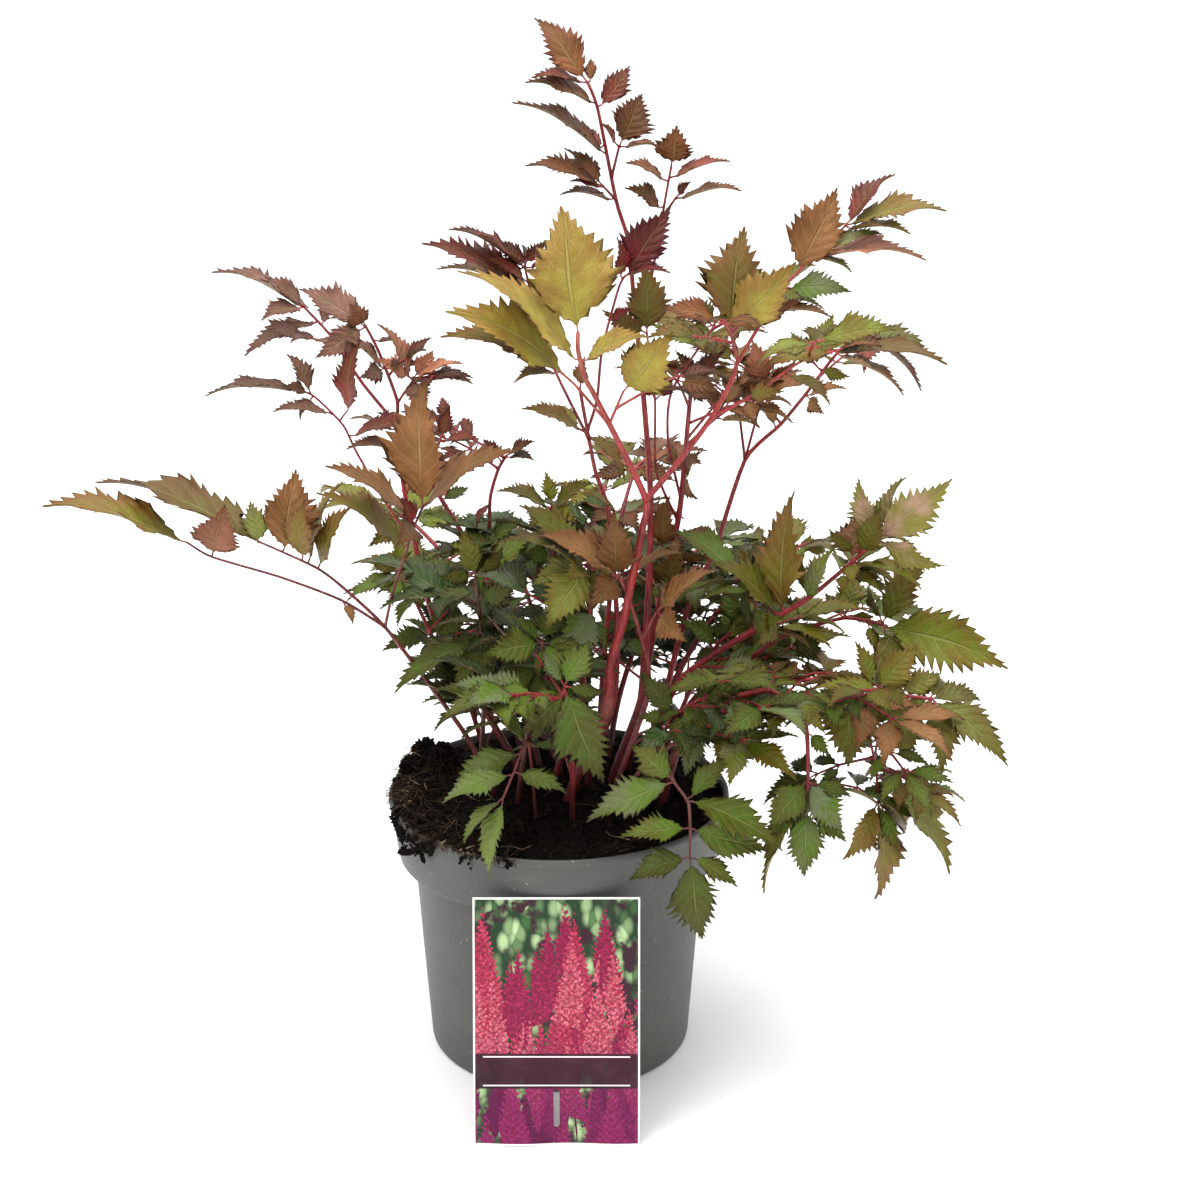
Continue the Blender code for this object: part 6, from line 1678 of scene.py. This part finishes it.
def card_piece():
    """The plant label: a printed card with a generic print of plumes and leaves."""
    across, along = CARD_GRID
    mesh = grid_mesh("plant_label", [(CARD_WIDE * (i / across - 0.5), 0.0, CARD_LONG * j / along)
                                     for j in range(along + 1) for i in range(across + 1)], across)
    sheet = mesh.uv_layers.new(name="print")
    for loop in mesh.loops:
        x, _, z = mesh.vertices[loop.vertex_index].co
        sheet.data[loop.index].uv = (x / CARD_WIDE + 0.5, z / CARD_LONG)
    card = homed("plant_label", mesh)
    skin = card.modifiers.new("thickness", "SOLIDIFY")
    skin.thickness = CARD_THICK
    skin.offset = 0.0
    card = grown_mesh(card, "plant_label")
    slot = card_slot()
    cut = card.modifiers.new("slot", "BOOLEAN")
    cut.operation = "DIFFERENCE"
    cut.object = slot
    card = grown_mesh(card, "plant_label")
    bpy.data.objects.remove(slot)
    for vertex in card.data.vertices:
        x, y, z = vertex.co
        # The foot is a little wavy from standing wet
        y += 1.3 * math.sin(x * 0.12 + 0.8) * max(0.0, 1 - z / 34.0) ** 1.5 + 0.5 * math.sin(z * 0.05 + x * 0.02)
        vertex.co = (x, y, z)
    reach = CARD_TOP_Y - CARD_FOOT_Y
    lean = math.atan2(reach, math.sqrt(CARD_LONG ** 2 - reach ** 2))
    lift = CARD_THICK / 2 * math.sin(lean) + 0.2
    turn = Matrix.Rotation(-lean, 4, "X")
    card.data.transform(Matrix.Scale(MM, 4) @ Matrix.Translation((0.0, CARD_FOOT_Y, lift)) @ turn)
    for vertex in card.data.vertices:
        vertex.co.z = max(vertex.co.z, 0.02 * MM)
    card.data.materials.clear()
    card.data.materials.append(print_look())
    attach(card, "root")
    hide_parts("label_card")


# The card's plumes, the far ones first, as (stretch, number across, darkest, lightest, colour low on the
# card, height of the tallest), and its band as (middle, half height, how far off its lines are)
PLUMES = ((0.30, 6.5, (132, 22, 62), (186, 48, 96), (92, 24, 78), 1.36),
          (0.26, 4.6, (172, 32, 68), (222, 84, 112), (122, 32, 92), 1.22),
          (0.34, 5.4, (190, 42, 76), (244, 134, 148), (150, 44, 104), 1.04))
BAND_MIDDLE, BAND_HALF, LINES_OFF = 0.30, 0.070, 0.058
PLUM_SHADE = (84, 14, 40)


def tinted(s, cells, low, high):
    """A colour for each cell, between two."""
    return s.mix(s.parts(cells.outputs["Color"])[0], linear(low), linear(high))


def plumes(s, step, tone, flat, y, swirl, florets):
    """One rank of plumes over the tone behind it: a plume in each tall cell, made of florets on branches."""
    stretch, scale, dark, light, low, top = PLUMES[step]
    shift = (0.37 * step + 0.11, 0.53 * step + 0.20)
    tall = s.v("MULTIPLY", s.v("ADD", flat, (*shift, 0.0)), (1.0, stretch, 1.0))
    home = s.cells(tall, scale)
    home.inputs["Randomness"].default_value = 0.85
    off = s.parts(s.v("SUBTRACT", tall, home.outputs["Position"]))
    aside = s.abs(off[0])
    rise = s.mul(off[1], 1.0 / stretch)
    branch = s.sine(s.mul(s.add(s.sub(rise, s.mul(aside, 0.9)), s.mul(swirl, 0.06)), 150.0))
    room = s.sub(s.mul(s.sub(0.21, rise), 0.26), aside)
    room = s.add(s.add(room, s.mul(branch, 0.009)), s.mul(s.sub(0.5, florets.outputs["Distance"]), 0.040))
    high = s.sub(s.mul(s.parts(home.outputs["Position"])[1], 1.0 / stretch), shift[1])
    mask = s.mul(s.ramp(room, 0.0, 0.008), s.ramp(high, top, top + 0.01, 1.0, 0.0))
    colour = s.mix(s.ramp(s.add(y, s.mul(swirl, 0.3)), 0.30, 0.62), linear(low), tinted(s, florets, dark, light))
    colour = s.mix(s.mul(s.ramp(branch, -0.8, 0.4, 1.0, 0.0), 0.35), colour, linear(PLUM_SHADE))
    bright = s.ramp(florets.outputs["Distance"], 0.05, 0.75, 1.0, 0.35)
    return s.mix(mask, tone, s.mix(bright, linear(PLUM_SHADE), colour))


def print_look():
    """A generic print: feathery plumes of many sizes over leaves, with a plum band low on the card."""
    look, skin, s = look_of("label_printed", 0.42, specular=0.22)
    sheet = s.tree.nodes.new("ShaderNodeUVMap")
    sheet.uv_map = "print"
    x, y, _ = s.parts(sheet.outputs[0])
    flat = s.v("MULTIPLY", sheet.outputs[0], (1.0, 1.5, 1.0))
    swirl = s.noise(flat, 6.0, 3.0)
    leaf = s.cells(s.v("MULTIPLY", s.v("ADD", flat, s.scaled(flat, 0.2)), (1.0, 0.6, 1.0)), 13.0)
    tone = tinted(s, leaf, (54, 92, 48), (176, 202, 150))
    tone = s.mix(s.ramp(leaf.outputs["Distance"], 0.25, 0.75), tone, linear((34, 56, 36)))
    tone = s.mix(s.ramp(swirl, 0.50, 0.60), tone, linear((56, 30, 42)))
    florets = s.cells(s.v("ADD", flat, s.scaled(flat, 0.03)), 74.0)
    for step in range(len(PLUMES)):
        tone = plumes(s, step, tone, flat, y, swirl, florets)
    # A plum band with a thin white line inside each edge, and a white border
    band = s.near(y, BAND_MIDDLE, BAND_HALF, BAND_HALF + 0.0015)
    plum = s.mix(s.ramp(swirl, 0.45, 0.7), linear((48, 18, 32)), linear((60, 32, 44)))
    tone = s.mix(s.mul(band, 0.96), tone, plum)
    lines = s.mul(s.near(s.abs(s.sub(y, BAND_MIDDLE)), LINES_OFF, 0.0022, 0.0034), s.near(x, 0.5, 0.44, 0.442))
    tone = s.mix(lines, tone, linear((232, 222, 224)))
    border = s.m("MAXIMUM", s.ramp(s.abs(s.sub(x, 0.5)), 0.487, 0.490), s.ramp(s.abs(s.sub(y, 0.5)), 0.491, 0.493))
    tone = s.mix(border, tone, linear((232, 230, 226)))
    s.put(skin.inputs["Base Color"], tone)
    return look


# Lights, as (name, place in metres, side of the panel, watts). They all face this point
LIGHTS = (("key_light", (-1.0, -1.0, 2.1), 1.0, 20.0), ("top_light", (0.3, 0.2, 2.2), 1.0, 26.0),
          ("soft_ceiling", (0.0, 0.0, 36.0), 120.0, 50400.0))
LIT_POINT = Vector((0.0, 0.0, 0.25))
FLOOR_SIDE = 60.0
# The air's strength as a light, and how much brighter it is where one looks into it
AIR_LIGHT, AIR_MORE = 0.64, 0.36


def studio():
    """A pale floor and soft light that falls mostly from above."""
    bpy.ops.mesh.primitive_plane_add(size=1.0)
    floor = bpy.context.object
    floor.name = "studio_floor"
    floor.scale = (FLOOR_SIDE, FLOOR_SIDE, 1.0)
    look, _, _ = look_of("studio_paper", 0.7, (0.93, 0.93, 0.925), specular=0.1)
    floor.data.materials.append(look)
    world = bpy.data.worlds.new("studio_air")
    bpy.context.scene.world = world
    world.use_nodes = True
    air = world.node_tree.nodes["Background"]
    air.inputs["Color"].default_value = (1.0, 1.0, 1.0, 1.0)
    s = Sums(world.node_tree)
    s.put(air.inputs["Strength"], s.add(s.mul(s.node("ShaderNodeLightPath"), AIR_MORE), AIR_LIGHT))
    for name, place, size, power in LIGHTS:
        light = bpy.data.lights.new(name, "AREA")
        light.size = size
        light.energy = power
        lamp = homed(name, light)
        lamp.location = place
        lamp.rotation_euler = (LIT_POINT - Vector(place)).to_track_quat("-Z", "Y").to_euler()


def photo_view():
    """The camera, where the photo was taken from."""
    lens = bpy.data.cameras.new("photo_view")
    lens.sensor_width = 36.0
    lens.lens = lens.sensor_width * VIEW_REACH / 1200.0
    camera = homed("photo_view", lens)
    camera.location = VIEW_FROM * MM
    camera.rotation_euler = (math.pi / 2 - VIEW_DOWN, 0.0, 0.0)
    bpy.context.scene.camera = camera
    bpy.context.scene.view_settings.view_transform = "Standard"


shared_surface = surface_group()
main_plant(shared_surface)
pot_piece(shared_surface)
soil_piece(shared_surface)
card_piece()
studio()
photo_view()
